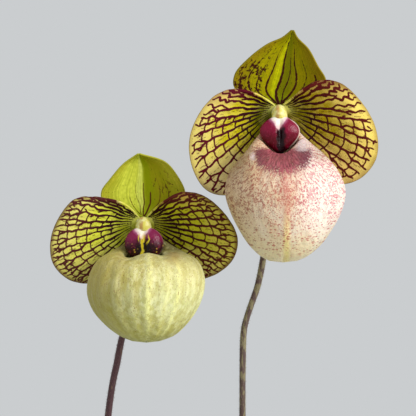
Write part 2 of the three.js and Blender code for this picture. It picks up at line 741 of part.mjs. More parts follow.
add('pot', potGeometry(), finishes.clay);
add('potting_mix', mixGeometry(), finishes.bark);
for (const flower of [flowerA, flowerB]) {
  const { name } = flower;
  add(`crown_${name}`, fromSolid(crownBody(name, 0)), finishes.root);
  leaves.forEach((leaf, index) => {
    add(`leaf_${name}_${index + 1}`, leafGeometry(name, leaf), finishes.leaf);
  });
  add(`stem_${name}`, stemGeometry(flower), finishes.stem);
  add(`bract_${name}`, bractGeometry(flower), finishes.ovary);
  add(`ovary_${name}`, ovaryGeometry(flower), finishes.ovary);
  add(`dorsal_sepal_${name}`, dorsalGeometry(flower), finishes.sepal);
  add(`synsepal_${name}`, synsepalGeometry(flower), finishes.sepal);
  add(`left_petal_${name}`, petalGeometry(flower, flower.leftPetal, -1), finishes.petal);
  add(`right_petal_${name}`, petalGeometry(flower, flower.rightPetal, 1), finishes.petal);
  add(`pouch_${name}`, pouchGeometry(flower), name === 'a' ? finishes.greenPouch : finishes.pinkPouch);
  add(`column_${name}`, columnGeometry(flower), finishes.shield);
}

export default plant;
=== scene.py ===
import logging
import math
from collections.abc import Callable
from dataclasses import dataclass, field, replace
from enum import Enum

import bpy
import numpy as np
from mathutils import Euler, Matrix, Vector


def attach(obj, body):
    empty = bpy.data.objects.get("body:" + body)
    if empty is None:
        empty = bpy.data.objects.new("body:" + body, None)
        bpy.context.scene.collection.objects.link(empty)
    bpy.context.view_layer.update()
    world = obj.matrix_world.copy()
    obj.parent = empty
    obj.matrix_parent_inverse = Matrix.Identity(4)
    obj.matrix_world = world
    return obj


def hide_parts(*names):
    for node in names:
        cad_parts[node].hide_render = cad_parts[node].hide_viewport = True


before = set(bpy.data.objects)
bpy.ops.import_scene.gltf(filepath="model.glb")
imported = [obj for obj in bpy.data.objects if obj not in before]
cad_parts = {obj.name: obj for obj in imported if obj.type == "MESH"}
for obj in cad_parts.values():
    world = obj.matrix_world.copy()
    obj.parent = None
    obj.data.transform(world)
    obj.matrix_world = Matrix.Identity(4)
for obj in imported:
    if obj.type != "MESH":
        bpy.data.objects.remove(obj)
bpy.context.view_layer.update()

LOG = logging.getLogger("slipper_orchid")
MM = 0.001
BODY = "root"
SEPAL_SPAN = 40.0
CLAW_TURN = (math.radians(25), math.radians(130))
Array = np.ndarray
Numbers = np.ndarray | float
Material = bpy.types.Material


# Curves and surfaces


def smooth(t: Numbers) -> Numbers:
    """Return the smooth step of t, clamped to 0 and 1."""
    c = np.clip(t, 0.0, 1.0)
    return c * c * (3.0 - 2.0 * c)


def lerp(a: Numbers, b: Numbers, t: Numbers) -> Numbers:
    """Return the value at share t of the way from a to b."""
    return a + (b - a) * t


def bell(x: Numbers, width: float) -> Numbers:
    """Return a bell curve of x with the given half width."""
    return np.exp(-((x / width) ** 2))


class Spline:
    """A smooth open curve through given points, read by arc length."""

    def __init__(self, points: list, per_span: int = 40) -> None:
        """Sample the curve.

        Args:
            points: Points of the curve, each with two or three numbers.
            per_span: Samples between neighbouring points.
        """
        knots = np.array(points, dtype=float)
        knots = np.vstack([2 * knots[0] - knots[1], knots, 2 * knots[-1] - knots[-2]])
        share = np.linspace(0.0, 1.0, per_span, endpoint=False)[:, None]
        samples = []
        for p0, p1, p2, p3 in zip(knots, knots[1:], knots[2:], knots[3:]):
            d0, d1, d2 = (max(np.linalg.norm(b - a) ** 0.5, 1e-4) for a, b in ((p0, p1), (p1, p2), (p2, p3)))
            t1 = ((p1 - p0) / d0 - (p2 - p0) / (d0 + d1) + (p2 - p1) / d1) * d1
            t2 = ((p2 - p1) / d1 - (p3 - p1) / (d1 + d2) + (p3 - p2) / d2) * d1
            a = 2 * p1 - 2 * p2 + t1 + t2
            b = -3 * p1 + 3 * p2 - 2 * t1 - t2
            samples.append(((a * share + b) * share + t1) * share + p1)
        samples.append(knots[-2][None, :])
        self.samples = np.vstack(samples)
        steps = np.linalg.norm(np.diff(self.samples, axis=0), axis=1)
        self.lengths = np.concatenate([[0.0], np.cumsum(steps)])
        self.length = float(self.lengths[-1])

    def at(self, share: Numbers) -> Array:
        """Return the points at shares 0 to 1 of the curve's length."""
        want = np.clip(np.asarray(share, dtype=float), 0.0, 1.0) * self.length
        return np.stack([np.interp(want, self.lengths, axis) for axis in self.samples.T], axis=-1)

    def tangent(self, share: Numbers) -> Array:
        """Return the unit directions at shares 0 to 1 of the curve's length."""
        step = 1e-3
        share = np.asarray(share, dtype=float)
        way = self.at(np.minimum(share + step, 1.0)) - self.at(np.maximum(share - step, 0.0))
        return way / np.linalg.norm(way, axis=-1, keepdims=True)


def share_grid(rows: int, columns: int) -> list:
    """Return the shares along and across at each point of a grid."""
    return np.meshgrid(np.linspace(0, 1, rows), np.linspace(0, 1, columns), indexing="ij")


def turns(sides: int) -> Array:
    """Return evenly spaced angles of one full turn."""
    return np.linspace(0, 2 * np.pi, sides, endpoint=False)


def xyz(*parts: Numbers) -> Array:
    """Return vectors made of the given numbers or arrays."""
    return np.stack(np.broadcast_arrays(*parts), axis=-1)


def unit(vectors: Array) -> Array:
    """Return the vectors at length 1."""
    return vectors / np.maximum(np.linalg.norm(vectors, axis=-1, keepdims=True), 1e-12)


def grid_normals(points: Array, closed: bool = False) -> Array:
    """Return the unit normals of a grid of points.

    Args:
        points: Grid of shape (rows, columns, 3).
        closed: Whether the columns close into a ring.

    Returns:
        Normals in the same shape.
    """
    along = np.gradient(points, axis=0)
    if closed:
        across = np.roll(points, -1, axis=1) - np.roll(points, 1, axis=1)
    else:
        across = np.gradient(points, axis=1)
    return unit(np.cross(along, across))


# Meshes


@dataclass
class Skin:
    """Vertices in millimetres, faces, and what each vertex carries for its finish."""

    points: Array
    quads: Array = field(default_factory=lambda: np.zeros((0, 4), dtype=int))
    tris: Array = field(default_factory=lambda: np.zeros((0, 3), dtype=int))
    marks: dict = field(default_factory=dict)

    def joined(self, other: "Skin") -> "Skin":
        """Return this skin and another as one."""
        shift = len(self.points)
        marks = {key: np.concatenate([value, other.marks[key]]) for key, value in self.marks.items()}
        return Skin(np.vstack([self.points, other.points]), np.vstack([self.quads, other.quads + shift]),
                    np.vstack([self.tris, other.tris + shift]), marks)

    def build(self, name: str, material: Material, slot: str, *nodes: str) -> bpy.types.Object:
        """Make the object, hang it on the body and hide the CAD nodes that it replaces.

        Args:
            name: Plain name of the piece.
            material: Finish of the piece.
            slot: Material slot of the record; not used.
            nodes: CAD nodes that the piece replaces.

        Returns:
            The new object.
        """
        mesh = bpy.data.meshes.new(name)
        faces = [*self.quads.tolist(), *self.tris.tolist()]
        mesh.from_pydata((self.points * MM).tolist(), [], faces, shade_flat=False)
        for key, value in self.marks.items():
            kind, place = ("FLOAT", "value") if value.ndim == 1 else ("FLOAT_VECTOR", "vector")
            mark = mesh.attributes.new(key, kind, "POINT")
            mark.data.foreach_set(place, value.astype(np.float32).ravel())
        mesh.validate()
        mesh.materials.append(material)
        piece = bpy.data.objects.new(name, mesh)
        bpy.context.collection.objects.link(piece)
        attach(piece, BODY)
        if nodes:
            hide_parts(*nodes)
        LOG.info("%s: %d faces", name, len(faces))
        return piece


def ring_quads(rows: int, columns: int, start: int = 0, closed: bool = True) -> Array:
    """Return the quads of a grid whose columns may close into a ring.

    Args:
        rows: Number of rows of points.
        columns: Number of points in a row.
        start: Index of the grid's first point.
        closed: Whether the last column joins the first.

    Returns:
        Quads as an array of shape (count, 4).
    """
    i, j = np.meshgrid(np.arange(rows - 1), np.arange(columns if closed else columns - 1), indexing="ij")
    k = (j + 1) % columns
    quads = xyz(i * columns + j, i * columns + k, (i + 1) * columns + k, (i + 1) * columns + j)
    return quads.reshape(-1, 4) + start


def blade(middle: Array, thickness: Array, marks: dict) -> Skin:
    """Give a sheet of points two faces and a closed edge.

    Args:
        middle: Grid of points of shape (rows, columns, 3).
        thickness: Thickness at each point, in millimetres.
        marks: What each grid point carries, by name.

    Returns:
        The closed skin, with a mark "face" that is 1 on the front and 0 on the back.
    """
    rows, columns = middle.shape[:2]
    normals = grid_normals(middle)
    if normals[..., 1].mean() > 0:
        normals = -normals
    offset = normals * (thickness / 2)[..., None]
    count = rows * columns
    faces = ring_quads(rows, columns, closed=False)
    edge = np.concatenate([
        np.arange(columns - 1),
        np.arange(rows - 1) * columns + columns - 1,
        (rows - 1) * columns + np.arange(columns - 1, 0, -1),
        np.arange(rows - 1, 0, -1) * columns,
    ])
    after = np.roll(edge, -1)
    rim = xyz(edge, edge + count, after + count, after)
    quads = np.vstack([faces, faces[:, ::-1] + count, rim])
    both = {key: np.concatenate([value.reshape(count, *value.shape[2:])] * 2) for key, value in marks.items()}
    both["face"] = np.concatenate([np.ones(count), np.zeros(count)])
    points = np.vstack([(middle + offset).reshape(-1, 3), (middle - offset).reshape(-1, 3)])
    return facing_out(Skin(points, quads, marks=both))


def facing_out(skin: Skin) -> Skin:
    """Turn a closed skin's faces so that they point out, and return it."""
    p = skin.points
    volume = 0.0
    for faces in (skin.quads[:, [0, 1, 2]], skin.quads[:, [0, 2, 3]], skin.tris):
        a, b, c = (p[faces[:, k]] for k in range(3))
        volume += float(np.einsum("ij,ij->", a, np.cross(b, c)))
    if volume < 0:
        skin.quads = skin.quads[:, ::-1]
        skin.tris = skin.tris[:, ::-1]
    return skin


def loft(rings: Array, start: Array, end: Array, marks: dict) -> Skin:
    """Close rings of points with a single point at each end.

    Args:
        rings: Points of shape (rings, sides, 3).
        start: Point that closes the first ring.
        end: Point that closes the last ring.
        marks: What each ring point carries, by name; the ends take their ring's mean.

    Returns:
        The closed skin.
    """
    rows, sides = rings.shape[:2]
    points = np.vstack([rings.reshape(-1, 3), start[None], end[None]])
    side = np.arange(sides)
    after = (side + 1) % sides
    first = xyz(rows * sides, after, side)
    base = (rows - 1) * sides
    last = xyz(rows * sides + 1, base + side, base + after)
    carried = {}
    for key, value in marks.items():
        flat = value.reshape(rows * sides, *value.shape[2:])
        ends = np.stack([value[0].mean(axis=0), value[-1].mean(axis=0)])
        carried[key] = np.concatenate([flat, ends])
    return facing_out(Skin(points, ring_quads(rows, sides), np.vstack([first, last]), carried))


def frames_along(curve: Spline, shares: Array, lean: Array) -> tuple:
    """Return points and two cross directions along a curve.

    Args:
        curve: The path.
        shares: Shares of its length.
        lean: Direction that the first cross direction stays close to.

    Returns:
        Points, first and second cross directions.
    """
    points = curve.at(shares)
    tangents = curve.tangent(shares)
    first = unit(lean - tangents * (tangents @ lean)[:, None])
    return points, first, np.cross(tangents, first)


def tube(curve: Spline, steps: int, sides: int, radius: Array, lean: tuple = (0.0, 1.0, 0.0)) -> Skin:
    """Return a closed tube along a curve.

    Args:
        curve: The path.
        steps: Number of steps along it.
        sides: Number of sides.
        radius: Radius at each step and side, shape (steps + 1, sides) or broadcastable to it.
        lean: Direction that the tube's first side stays close to.

    Returns:
        The closed skin.
    """
    shares = np.linspace(0.0, 1.0, steps + 1)
    points, first, second = frames_along(curve, shares, np.array(lean))
    angle = turns(sides)
    radius = np.broadcast_to(radius, (steps + 1, sides))[..., None]
    rings = points[:, None] + radius * (
        first[:, None] * np.cos(angle)[None, :, None] + second[:, None] * np.sin(angle)[None, :, None]
    )
    return loft(rings, points[0], points[-1], {})


def hairs(roots: Array, normals: Array, length: float, width: float, rng: np.random.Generator) -> Skin:
    """Return fine three-sided hairs that stand out of a surface.

    Args:
        roots: Where the hairs start.
        normals: The way each one points.
        length: Mean length in millimetres.
        width: Width at the root in millimetres.
        rng: Seeded random numbers.

    Returns:
        A skin of one small spike for each root.
    """
    count = len(roots)
    way = unit(normals + rng.normal(0.0, 0.35, (count, 3)))
    side = unit(np.cross(way, rng.normal(0.0, 1.0, (count, 3))))
    other = np.cross(way, side)
    reach = (length * rng.uniform(0.55, 1.25, count))[:, None]
    corners = [
        roots - way * 0.15 + width * (side * math.cos(a) + other * math.sin(a))
        for a in (0.0, 2 * math.pi / 3, 4 * math.pi / 3)
    ]
    points = np.stack([*corners, roots + way * reach], axis=1).reshape(-1, 3)
    base = np.arange(count)[:, None] * 4
    tris = np.concatenate([base + corner for corner in ([0, 1, 3], [1, 2, 3], [2, 0, 3], [0, 2, 1])])
    return Skin(points, tris=tris)


# Node materials


@dataclass(frozen=True)
class Value:
    """A node's result, on which plain arithmetic adds further nodes."""

    paint: "Paint"
    socket: bpy.types.NodeSocket

    def __add__(self, other: object) -> "Value":
        """Return the sum."""
        return self.paint.math("ADD", self, other)

    def __sub__(self, other: object) -> "Value":
        """Return the difference."""
        return self.paint.math("SUBTRACT", self, other)

    def __mul__(self, other: object) -> "Value":
        """Return the product."""
        return self.paint.math("MULTIPLY", self, other)

    def __abs__(self) -> "Value":
        """Return the size without its sign."""
        return self.paint.math("ABSOLUTE", self, 0.0)


def linear(colour: tuple) -> tuple:
    """Return a display colour of 0 to 255 as the linear colour that a shader takes."""
    return tuple((c / 255 / 12.92) if c <= 10 else ((c / 255 + 0.055) / 1.055) ** 2.4 for c in colour)


class Paint:
    """A material's node tree, written as short calls that each return a value."""

    def __init__(self, name: str) -> None:
        """Start a material with one principled shader."""
        self.material = bpy.data.materials.new(name)
        self.material.use_nodes = True
        self.tree = self.material.node_tree
        self.shader = self.tree.nodes["Principled BSDF"]

    def put(self, socket: bpy.types.NodeSocket, value: object) -> None:
        """Link a value, or set a number, a vector or a display colour."""
        if isinstance(value, Value):
            self.tree.links.new(value.socket, socket)
        elif socket.type == "RGBA":
            socket.default_value = (*linear(value), 1.0)
        else:
            socket.default_value = value

    def node(self, kind: str, output: object, inputs: dict, **settings: object) -> Value:
        """Add a node.

        Args:
            kind: Its type.
            output: Name or number of the output that is wanted.
            inputs: Its inputs by name or number.
            settings: Its properties by name.

        Returns:
            The output.
        """
        made = self.tree.nodes.new(kind)
        for key, value in settings.items():
            setattr(made, key, value)
        for key, value in inputs.items():
            self.put(made.inputs[key], value)
        return Value(self, made.outputs[output])

    def mark(self, name: str, output: str = "Fac") -> Value:
        """Return a number that the vertices carry."""
        return self.node("ShaderNodeAttribute", output, {}, attribute_name=name)

    def mark_vector(self, name: str) -> Value:
        """Return a vector that the vertices carry."""
        return self.mark(name, "Vector")

    def place(self) -> Value:
        """Return the point's place in the piece, in metres."""
        return self.node("ShaderNodeTexCoord", "Object", {})

    def math(self, kind: str, a: object, b: object) -> Value:
        """Return the result of one sum."""
        return self.node("ShaderNodeMath", 0, {0: a, 1: b}, operation=kind)

    def larger(self, a: object, b: object) -> Value:
        """Return the larger of two numbers."""
        return self.math("MAXIMUM", a, b)

    def stretch(self, vector: Value, scale: tuple) -> Value:
        """Return a vector times a scale for each axis."""
        return self.node("ShaderNodeVectorMath", 0, {0: vector, 1: scale}, operation="MULTIPLY")

    def split(self, vector: Value) -> tuple:
        """Return a vector's three numbers."""
        first = self.node("ShaderNodeSeparateXYZ", 0, {0: vector})
        return tuple(Value(self, output) for output in first.socket.node.outputs)

    def noise(self, vector: Value, scale: float, detail: float, warp: float = 0.0) -> Value:
        """Return a cloudy number from about 0.25 to 0.75."""
        inputs = {"Vector": vector, "Scale": scale, "Detail": detail, "Distortion": warp}
        return self.node("ShaderNodeTexNoise", "Fac", inputs)

    def cells(self, vector: Value, scale: float) -> tuple:
        """Return the distance to the nearest cell's middle, and the cell's own random number."""
        near = self.node("ShaderNodeTexVoronoi", "Distance", {"Vector": vector, "Scale": scale})
        return near, self.split(Value(self, near.socket.node.outputs["Color"]))[0]

    def dots(self, vector: Value, scale: float, size: tuple, chance: tuple) -> Value:
        """Return dots that fade out over a range of sizes, in cells whose chance passes a range."""
        near, dice = self.cells(vector, scale)
        return self.ramp(near, *size) * self.ramp(dice, *chance)

    def ramp(self, value: Value, low: float, high: float, smooth_step: bool = True) -> Value:
        """Return 0 below low and 1 above high; low may be above high."""
        inputs = {"Value": value, "From Min": min(low, high), "From Max": max(low, high),
                  "To Min": float(low > high), "To Max": float(low <= high)}
        style = "SMOOTHSTEP" if smooth_step else "LINEAR"
        return self.node("ShaderNodeMapRange", "Result", inputs, interpolation_type=style)

    def mix(self, share: object, a: object, b: object) -> Value:
        """Return colour a turned to colour b by a share."""
        return self.node("ShaderNodeMix", 2, {0: share, 6: a, 7: b}, data_type="RGBA")

    def coats(self, colour: object, coats: tuple) -> Value:
        """Return a colour with others laid over it in turn, each one a share and a colour."""
        for share, over in coats:
            colour = self.mix(share, colour, over)
        return colour

    def bump(self, height: Value, strength: float, distance: float, under: Value | None = None) -> Value:
        """Return a normal raised by a height, over another normal if one is given."""
        inputs = {"Strength": strength, "Distance": distance, "Height": height}
        return self.node("ShaderNodeBump", "Normal", inputs if under is None else {**inputs, "Normal": under})

    def finish(self, colour: Value, roughness: object, normal: Value | None = None,
               **sockets: object) -> Material:
        """Link the results to the shader.

        Args:
            colour: Base colour.
            roughness: Roughness.
            normal: Normal, or None for the smooth one.
            sockets: Other inputs by name, with _ for a space.

        Returns:
            The material.
        """
        self.put(self.shader.inputs["Base Color"], colour)
        self.put(self.shader.inputs["Roughness"], roughness)
        if normal is not None:
            self.put(self.shader.inputs["Normal"], normal)
        for key, value in sockets.items():
            self.put(self.shader.inputs[key.replace("_", " ")], value)
        return self.material


@dataclass(frozen=True)
class PetalFinish:
    """Satin petal: yellow ground, olive towards the base, with a maroon net and fine brown dots."""

    name: str
    base: tuple
    middle: tuple
    outer: tuple
    top: tuple
    low: tuple
    vein_inner: tuple
    vein_outer: tuple
    rim: float

    def make(self) -> Material:
        """Return the petal's material."""
        p = Paint(self.name)
        place = p.place()
        along = p.mark("along")
        across = p.mark("across")
        cloud = p.noise(place, 170.0, 3.0) - 0.5
        reach = along + cloud * 0.5
        ground = p.mix(p.ramp(reach, 0.14, 0.42), self.base, self.middle)
        upper = p.ramp(across, 0.36, 0.12) * p.ramp(reach, 0.5, 0.9)
        ground = p.coats(ground, (
            (p.ramp(reach, 0.5, 0.92), self.outer),
            (upper, self.top),
            (p.ramp(across, 0.6, 0.86) * p.ramp(reach, 0.3, 0.6), self.low),
        ))
        patches = p.ramp(p.noise(place, 330.0, 3.0), 0.44, 0.6)
        ground = p.mix(patches * 0.3, ground, p.mix(0.6, ground, self.outer))
        rib = p.ramp(across, 0.085, 0.02) * p.ramp(along, 0.62, 0.25)
        claw = p.ramp(along, 0.15, 0.02) * p.ramp(across, 0.75, 0.3)
        ground = p.coats(ground, (
            (rib * 0.85, (226, 222, 104)),
            (claw * 0.5, (226, 226, 120)),
        ))
        brown = p.mix(0.55, ground, self.vein_outer)
        for scale, size, share in ((1500.0, 0.36, 0.75), (900.0, 0.3, 0.9)):
            dot = p.dots(place, scale, (size, size * 0.5), (0.5, 0.62))
            where = p.ramp(across, 0.26, 0.42) * p.ramp(along, 0.2, 0.34)
            ground = p.mix(dot * where * share, ground, brown)
        rough = (p.noise(place, 1500.0, 2.0) - 0.5) * 0.42
        line = p.ramp(p.mark("vein") + rough, 0.12, -0.12)
        dye = p.mix(p.ramp(along, 0.2, 0.8), self.vein_inner, self.vein_outer)
        colour = p.mix(p.mark("pale") * line, p.mix(line, ground, dye), brown)
        wide = p.mark("edge") + cloud * 1.6
        colour = p.coats(colour, (
            (p.ramp(wide, 2.6, 0.3) * self.rim, self.vein_outer),
            (p.ramp(p.mark("edge"), 0.5, 0.1) * 0.4, self.vein_outer),
        ))
        colour = p.mix(p.mark("face"), p.mix(0.5, colour, self.outer), colour)
        normal = p.bump(line * 0.5, 0.4, 0.0002)
        normal = p.bump(p.noise(place, 2600.0, 2.0), 0.3, 0.0001, normal)
        return p.finish(colour, p.ramp(line, -0.8, 1.8), normal, Subsurface_Weight=0.05,
                        Subsurface_Radius=(0.0012, 0.0008, 0.0003), Subsurface_Scale=0.5,
                        Specular_IOR_Level=0.06)


@dataclass(frozen=True)
class SepalFinish:
    """Satin sepal: lime on the left, olive on the right of its keel, with dark broken veins; the darker right
    half is partly its own olive and partly painted shade.
    """

    name: str
    left: tuple
    right: tuple
    keel: tuple
    crest: tuple
    margin: tuple
    throat: tuple
    vein: tuple
    broken: float

    def make(self) -> Material:
        """Return the sepal's material."""
        p = Paint(self.name)
        place = p.place()
        along = p.mark("along")
        across = p.mark("across")
        cloud = p.noise(place, 150.0, 3.0) - 0.5
        side = across + cloud * 0.12
        # The darker right half is partly its own olive tint and partly painted shade, where that half faces
        # away from the light.
        ground = p.mix(p.ramp(side, 0.47, 0.53), self.left, self.right)
        keel = p.ramp(abs(side - 0.56), 0.13, 0.02) * 0.75
        crest = p.ramp(abs(across - 0.455), 0.06, 0.01)
        outward = abs(side - 0.5)
        ground = p.coats(ground, (
            (keel, self.keel),
            (crest * 0.85, self.crest),
            (p.ramp(outward, 0.26, 0.46) * 0.8, self.margin),
        ))
        ribs = p.noise(p.stretch(p.mark_vector("flow"), (40.0, 1.4, 0.0)), 1.0, 2.0)
        ground = p.mix(p.ramp(ribs, 0.45, 0.6) * 0.5, ground, p.mix(0.6, ground, self.keel))
        cells, _ = p.cells(place, 480.0)
        ground = p.coats(ground, (
            (p.ramp(cells, 0.2, 0.62) * 0.22, self.keel),
            (p.ramp(along, 0.34, 0.05) * 0.85, self.throat),
            (p.ramp(along, 0.8, 1.0) * 0.5, self.keel),
        ))
        fade = (p.noise(place, 620.0, 2.0) - 0.5) * self.broken
        fade = fade + p.ramp(along, 0.35, 0.9) * 0.3
        line = p.ramp(p.mark("vein") + fade, 0.14, -0.14)
        speck = p.dots(place, 700.0, (0.28, 0.12), (0.72, 0.8)) * p.ramp(along, 0.75, 0.4)
        colour = p.mix(p.larger(line, speck * 0.6), ground, self.vein)
        colour = p.mix(p.ramp(p.mark("edge"), 0.7, 0.1) * 0.4, colour, (140, 124, 40))
        colour = p.mix(p.mark("face"), p.mix(0.5, colour, self.left), colour)
        normal = p.bump(ribs, 0.5, 0.0005)
        normal = p.bump(cells, 0.25, 0.0002, normal)
        return p.finish(colour, 0.5, normal, Subsurface_Weight=0.05, Subsurface_Scale=0.5,
                        Subsurface_Radius=(0.0008, 0.001, 0.0003), Specular_IOR_Level=0.04)


def wax(p: Paint, colour: object, skin: object, radius: tuple) -> Material:
    """Finish a pouch as thin waxy flesh.

    Args:
        p: The material's nodes.
        colour: Its colour.
        skin: Place on the pouch, in millimetres.
        radius: How far red, green and blue light spread, in metres.

    Returns:
        The material.
    """
    grain = p.noise(skin, 1.4, 3.0)
    normal = p.bump(p.noise(skin, 0.3, 3.0), 0.6, 0.0016)
    normal = p.bump(grain, 0.35, 0.0003, normal)
    return p.finish(colour, grain * 0.2 + 0.4, normal, Subsurface_Weight=0.08, Subsurface_Radius=radius,
                    Subsurface_Scale=0.7, Specular_IOR_Level=0.25, Coat_Weight=0.04, Coat_Roughness=0.4)


@dataclass(frozen=True)
class PinkPouchFinish:
    """Waxy cream pouch covered in rose squiggles, with a mauve brow under the shield, painted shade on its
    left side and painted light on its right.
    """

    name: str = "pink_pouch"

    def make(self) -> Material:
        """Return the pouch's material."""
        p = Paint(self.name)
        skin = p.mark_vector("skin")
        x, _, z = p.split(p.mark_vector("front"))
        cloud = p.noise(skin, 0.09, 3.0) - 0.5
        ground = p.mix(p.ramp(cloud, -0.15, 0.18), (242, 230, 206), (228, 208, 170))
        # Painted shade and light: the left side is painted darker tan and the lower right whiter, as if lit
        # from the right.
        left = p.ramp(x + cloud * 12.0, 5.0, -26.0)
        right = p.ramp(x, 4.0, 17.0) * p.ramp(z, -70.0, -48.0)
        side = abs(x - 3.2)
        keel = p.ramp(side, 2.6, 0.4) * p.ramp(z, -40.0, -62.0)
        ground = p.coats(ground, (
            (left * 0.65, (206, 180, 126)),
            (right * 0.85, (252, 244, 230)),
            (p.ramp(z, -58.0, -74.0) * 0.6, (240, 226, 174)),
            (keel * 0.7, (246, 226, 140)),
        ))
        upper = p.ramp(z, -76.0, -40.0)
        # The rose marks and the rose wash are painted darker on the shaded left and paler on the lit right.
        rose = p.mix(left, p.mix(right, (184, 88, 78), (196, 92, 112)), (138, 74, 54))
        wash = p.ramp(z + cloud * 24.0, -70.0, -30.0) * 0.26
        colour = p.mix(wash, ground, p.mix(right, (206, 144, 112), (236, 192, 178)))
        flow = p.stretch(skin, (1.0, 1.0, 1.25))
        thick = p.noise(skin, 0.15, 2.0) - 0.5
        squiggle = abs(p.noise(flow, 0.8, 2.0, 0.6) - 0.5)
        width = upper * 0.03 + thick * 0.1
        thread = p.ramp(squiggle - width, 0.016, -0.004)
        gaps = p.ramp(p.noise(skin, 0.95, 2.0), 0.44, 0.54)
        total = thread * gaps * (upper * 0.3 + 0.5)
        for scale, size, share in ((1.0, 0.32, 0.7), (1.5, 0.44, 0.8), (2.3, 0.48, 0.75)):
            dots, dice = p.cells(p.stretch(p.mark_vector("flow"), (1.0, 0.6, 1.0)), scale)
            radius = p.ramp(dice, 0.1, 0.85, False) * size
            radius = radius * (thick * 0.8 + 0.75)
            dot = p.ramp(dots - radius, 0.05, -0.06) * share
            total = p.larger(total, dot)
        streak = p.noise(p.stretch(p.mark_vector("flow"), (1.9, 0.3, 1.0)), 1.0, 2.0, 0.3)
        near = p.ramp(z, -66.0, -32.0)
        streak = p.ramp(streak, 0.54, 0.6) * near * 0.6
        seam = p.mark("ridge") * p.ramp(z, -62.0, -48.0)
        grain = p.noise(p.stretch(skin, (1.6, 1.6, 0.4)), 0.8, 3.0) - 0.5
        shaded = p.mark("shade") * 0.5
        lines = p.noise(p.stretch(p.mark_vector("flow"), (1.7, 0.3, 1.0)), 1.0, 3.0)
        mauve = p.mix(p.ramp(lines, 0.42, 0.6), (108, 20, 48), (176, 84, 98))
        mauve = p.mix(p.ramp(abs(x - 1.0), 5.0, 13.0), mauve, (106, 28, 56))
        ragged = grain + lines - 0.5
        brow = p.ramp(p.mark("brow") + ragged * 1.5, 0.12, 0.85)
        # Painted highlight: pale ragged patches where the mouth catches the light.
        ragged_highlight = p.mark("highlight_patch") + grain * 0.8
        colour = p.coats(colour, (
            (streak, rose),
            (seam * 0.4, (196, 96, 92)),
            (total * p.ramp(z, -76.0, -66.0), rose),
            (shaded, (134, 104, 58)),
            (brow * 0.92, mauve),
            (p.ramp(ragged_highlight, 0.35, 0.8) * 0.7, (228, 208, 208)),
            (p.mark("inside") * 0.8, (214, 190, 140)),
        ))
        return wax(p, colour, skin, (0.002, 0.0012, 0.0007))


@dataclass(frozen=True)
class GreenPouchFinish:
    """Waxy pale green-yellow pouch with soft ribs, brown dots and a tawny tint by its mouth, painted shade on
    its left, lower part and furrows, and painted highlights on its right and its ridges.
    """

    name: str = "green_pouch"

    def make(self) -> Material:
        """Return the pouch's material."""
        p = Paint(self.name)
        skin = p.mark_vector("skin")
        x, _, z = p.split(p.mark_vector("front"))
        cloud = p.noise(skin, 0.12, 3.0) - 0.5
        ground = p.mix(p.ramp(cloud, -0.15, 0.18), (226, 228, 172), (206, 206, 132))
        mottle = p.noise(skin, 0.62, 3.0)
        patchy = p.noise(skin, 0.34, 4.0, 0.5)
        # Painted shade: the valleys between the ribs are painted darker.
        furrow_shade = p.mark("furrow_shade") * p.ramp(p.noise(skin, 0.2, 2.0), 0.4, 0.62)
        # Painted shade and light: the left side and the lower part are painted darker, and the right side
        # paler, as if lit from the upper right.
        left = p.ramp(x + cloud * 9.0, 3.0, -24.0)
        low = p.ramp(z + cloud * 9.0, -36.0, -58.0)
        right = p.ramp(x, 3.0, 18.0) * p.ramp(z, -56.0, -34.0)
        # Painted shade between the tall ridges, and a painted highlight along them.
        between = p.ramp(p.mark("ridge"), 0.4, 0.0) * p.ramp(patchy, 0.36, 0.6)
        ridge = p.ramp(p.mark("ridge"), 0.4, 1.0) * p.ramp(mottle, 0.38, 0.56)
        ground = p.coats(ground, (
            (p.ramp(mottle, 0.44, 0.6) * 0.7, (240, 240, 186)),
            (p.ramp(patchy, 0.48, 0.62) * 0.5, (172, 166, 84)),
            (furrow_shade * 0.6, (176, 166, 74)),
            (left * 0.8, (152, 140, 50)),
            (low * 0.55, (186, 180, 78)),
            (right * 0.4, (226, 228, 166)),
            (between * 0.3, (170, 162, 70)),
            (ridge * 0.7, (248, 248, 160)),
        ))
        top = p.ramp(z, -42.0, -17.0)
        colour = p.mix(top * 0.3, ground, (214, 190, 110))
        spots = ((0.8, 0.24, 0.7, 0.8), (1.5, 0.36, 0.5, 0.6), (2.4, 0.4, 0.5, 0.4))
        for scale, size, low_dice, share in spots:
            dots, dice = p.cells(skin, scale)
            many = p.ramp(dice + top * 0.3, low_dice + 0.12, low_dice + 0.2)
            dot = p.ramp(dots, size, size * 0.4) * many * share
            colour = p.mix(dot, colour, (136, 84, 44))
        tawny = p.mark("brow") + (mottle - 0.5) * 0.9
        wing = p.ramp(z, -14.6, -12.6) * p.ramp(mottle, 0.2, 0.5)
        colour = p.coats(colour, (
            (p.ramp(tawny, 0.3, 1.3) * 0.6, (166, 118, 50)),
            (wing * 0.75, (96, 84, 22)),
            (p.mark("inside") * 0.8, (150, 136, 60)),
        ))
        return wax(p, colour, skin, (0.0016, 0.0014, 0.0005))


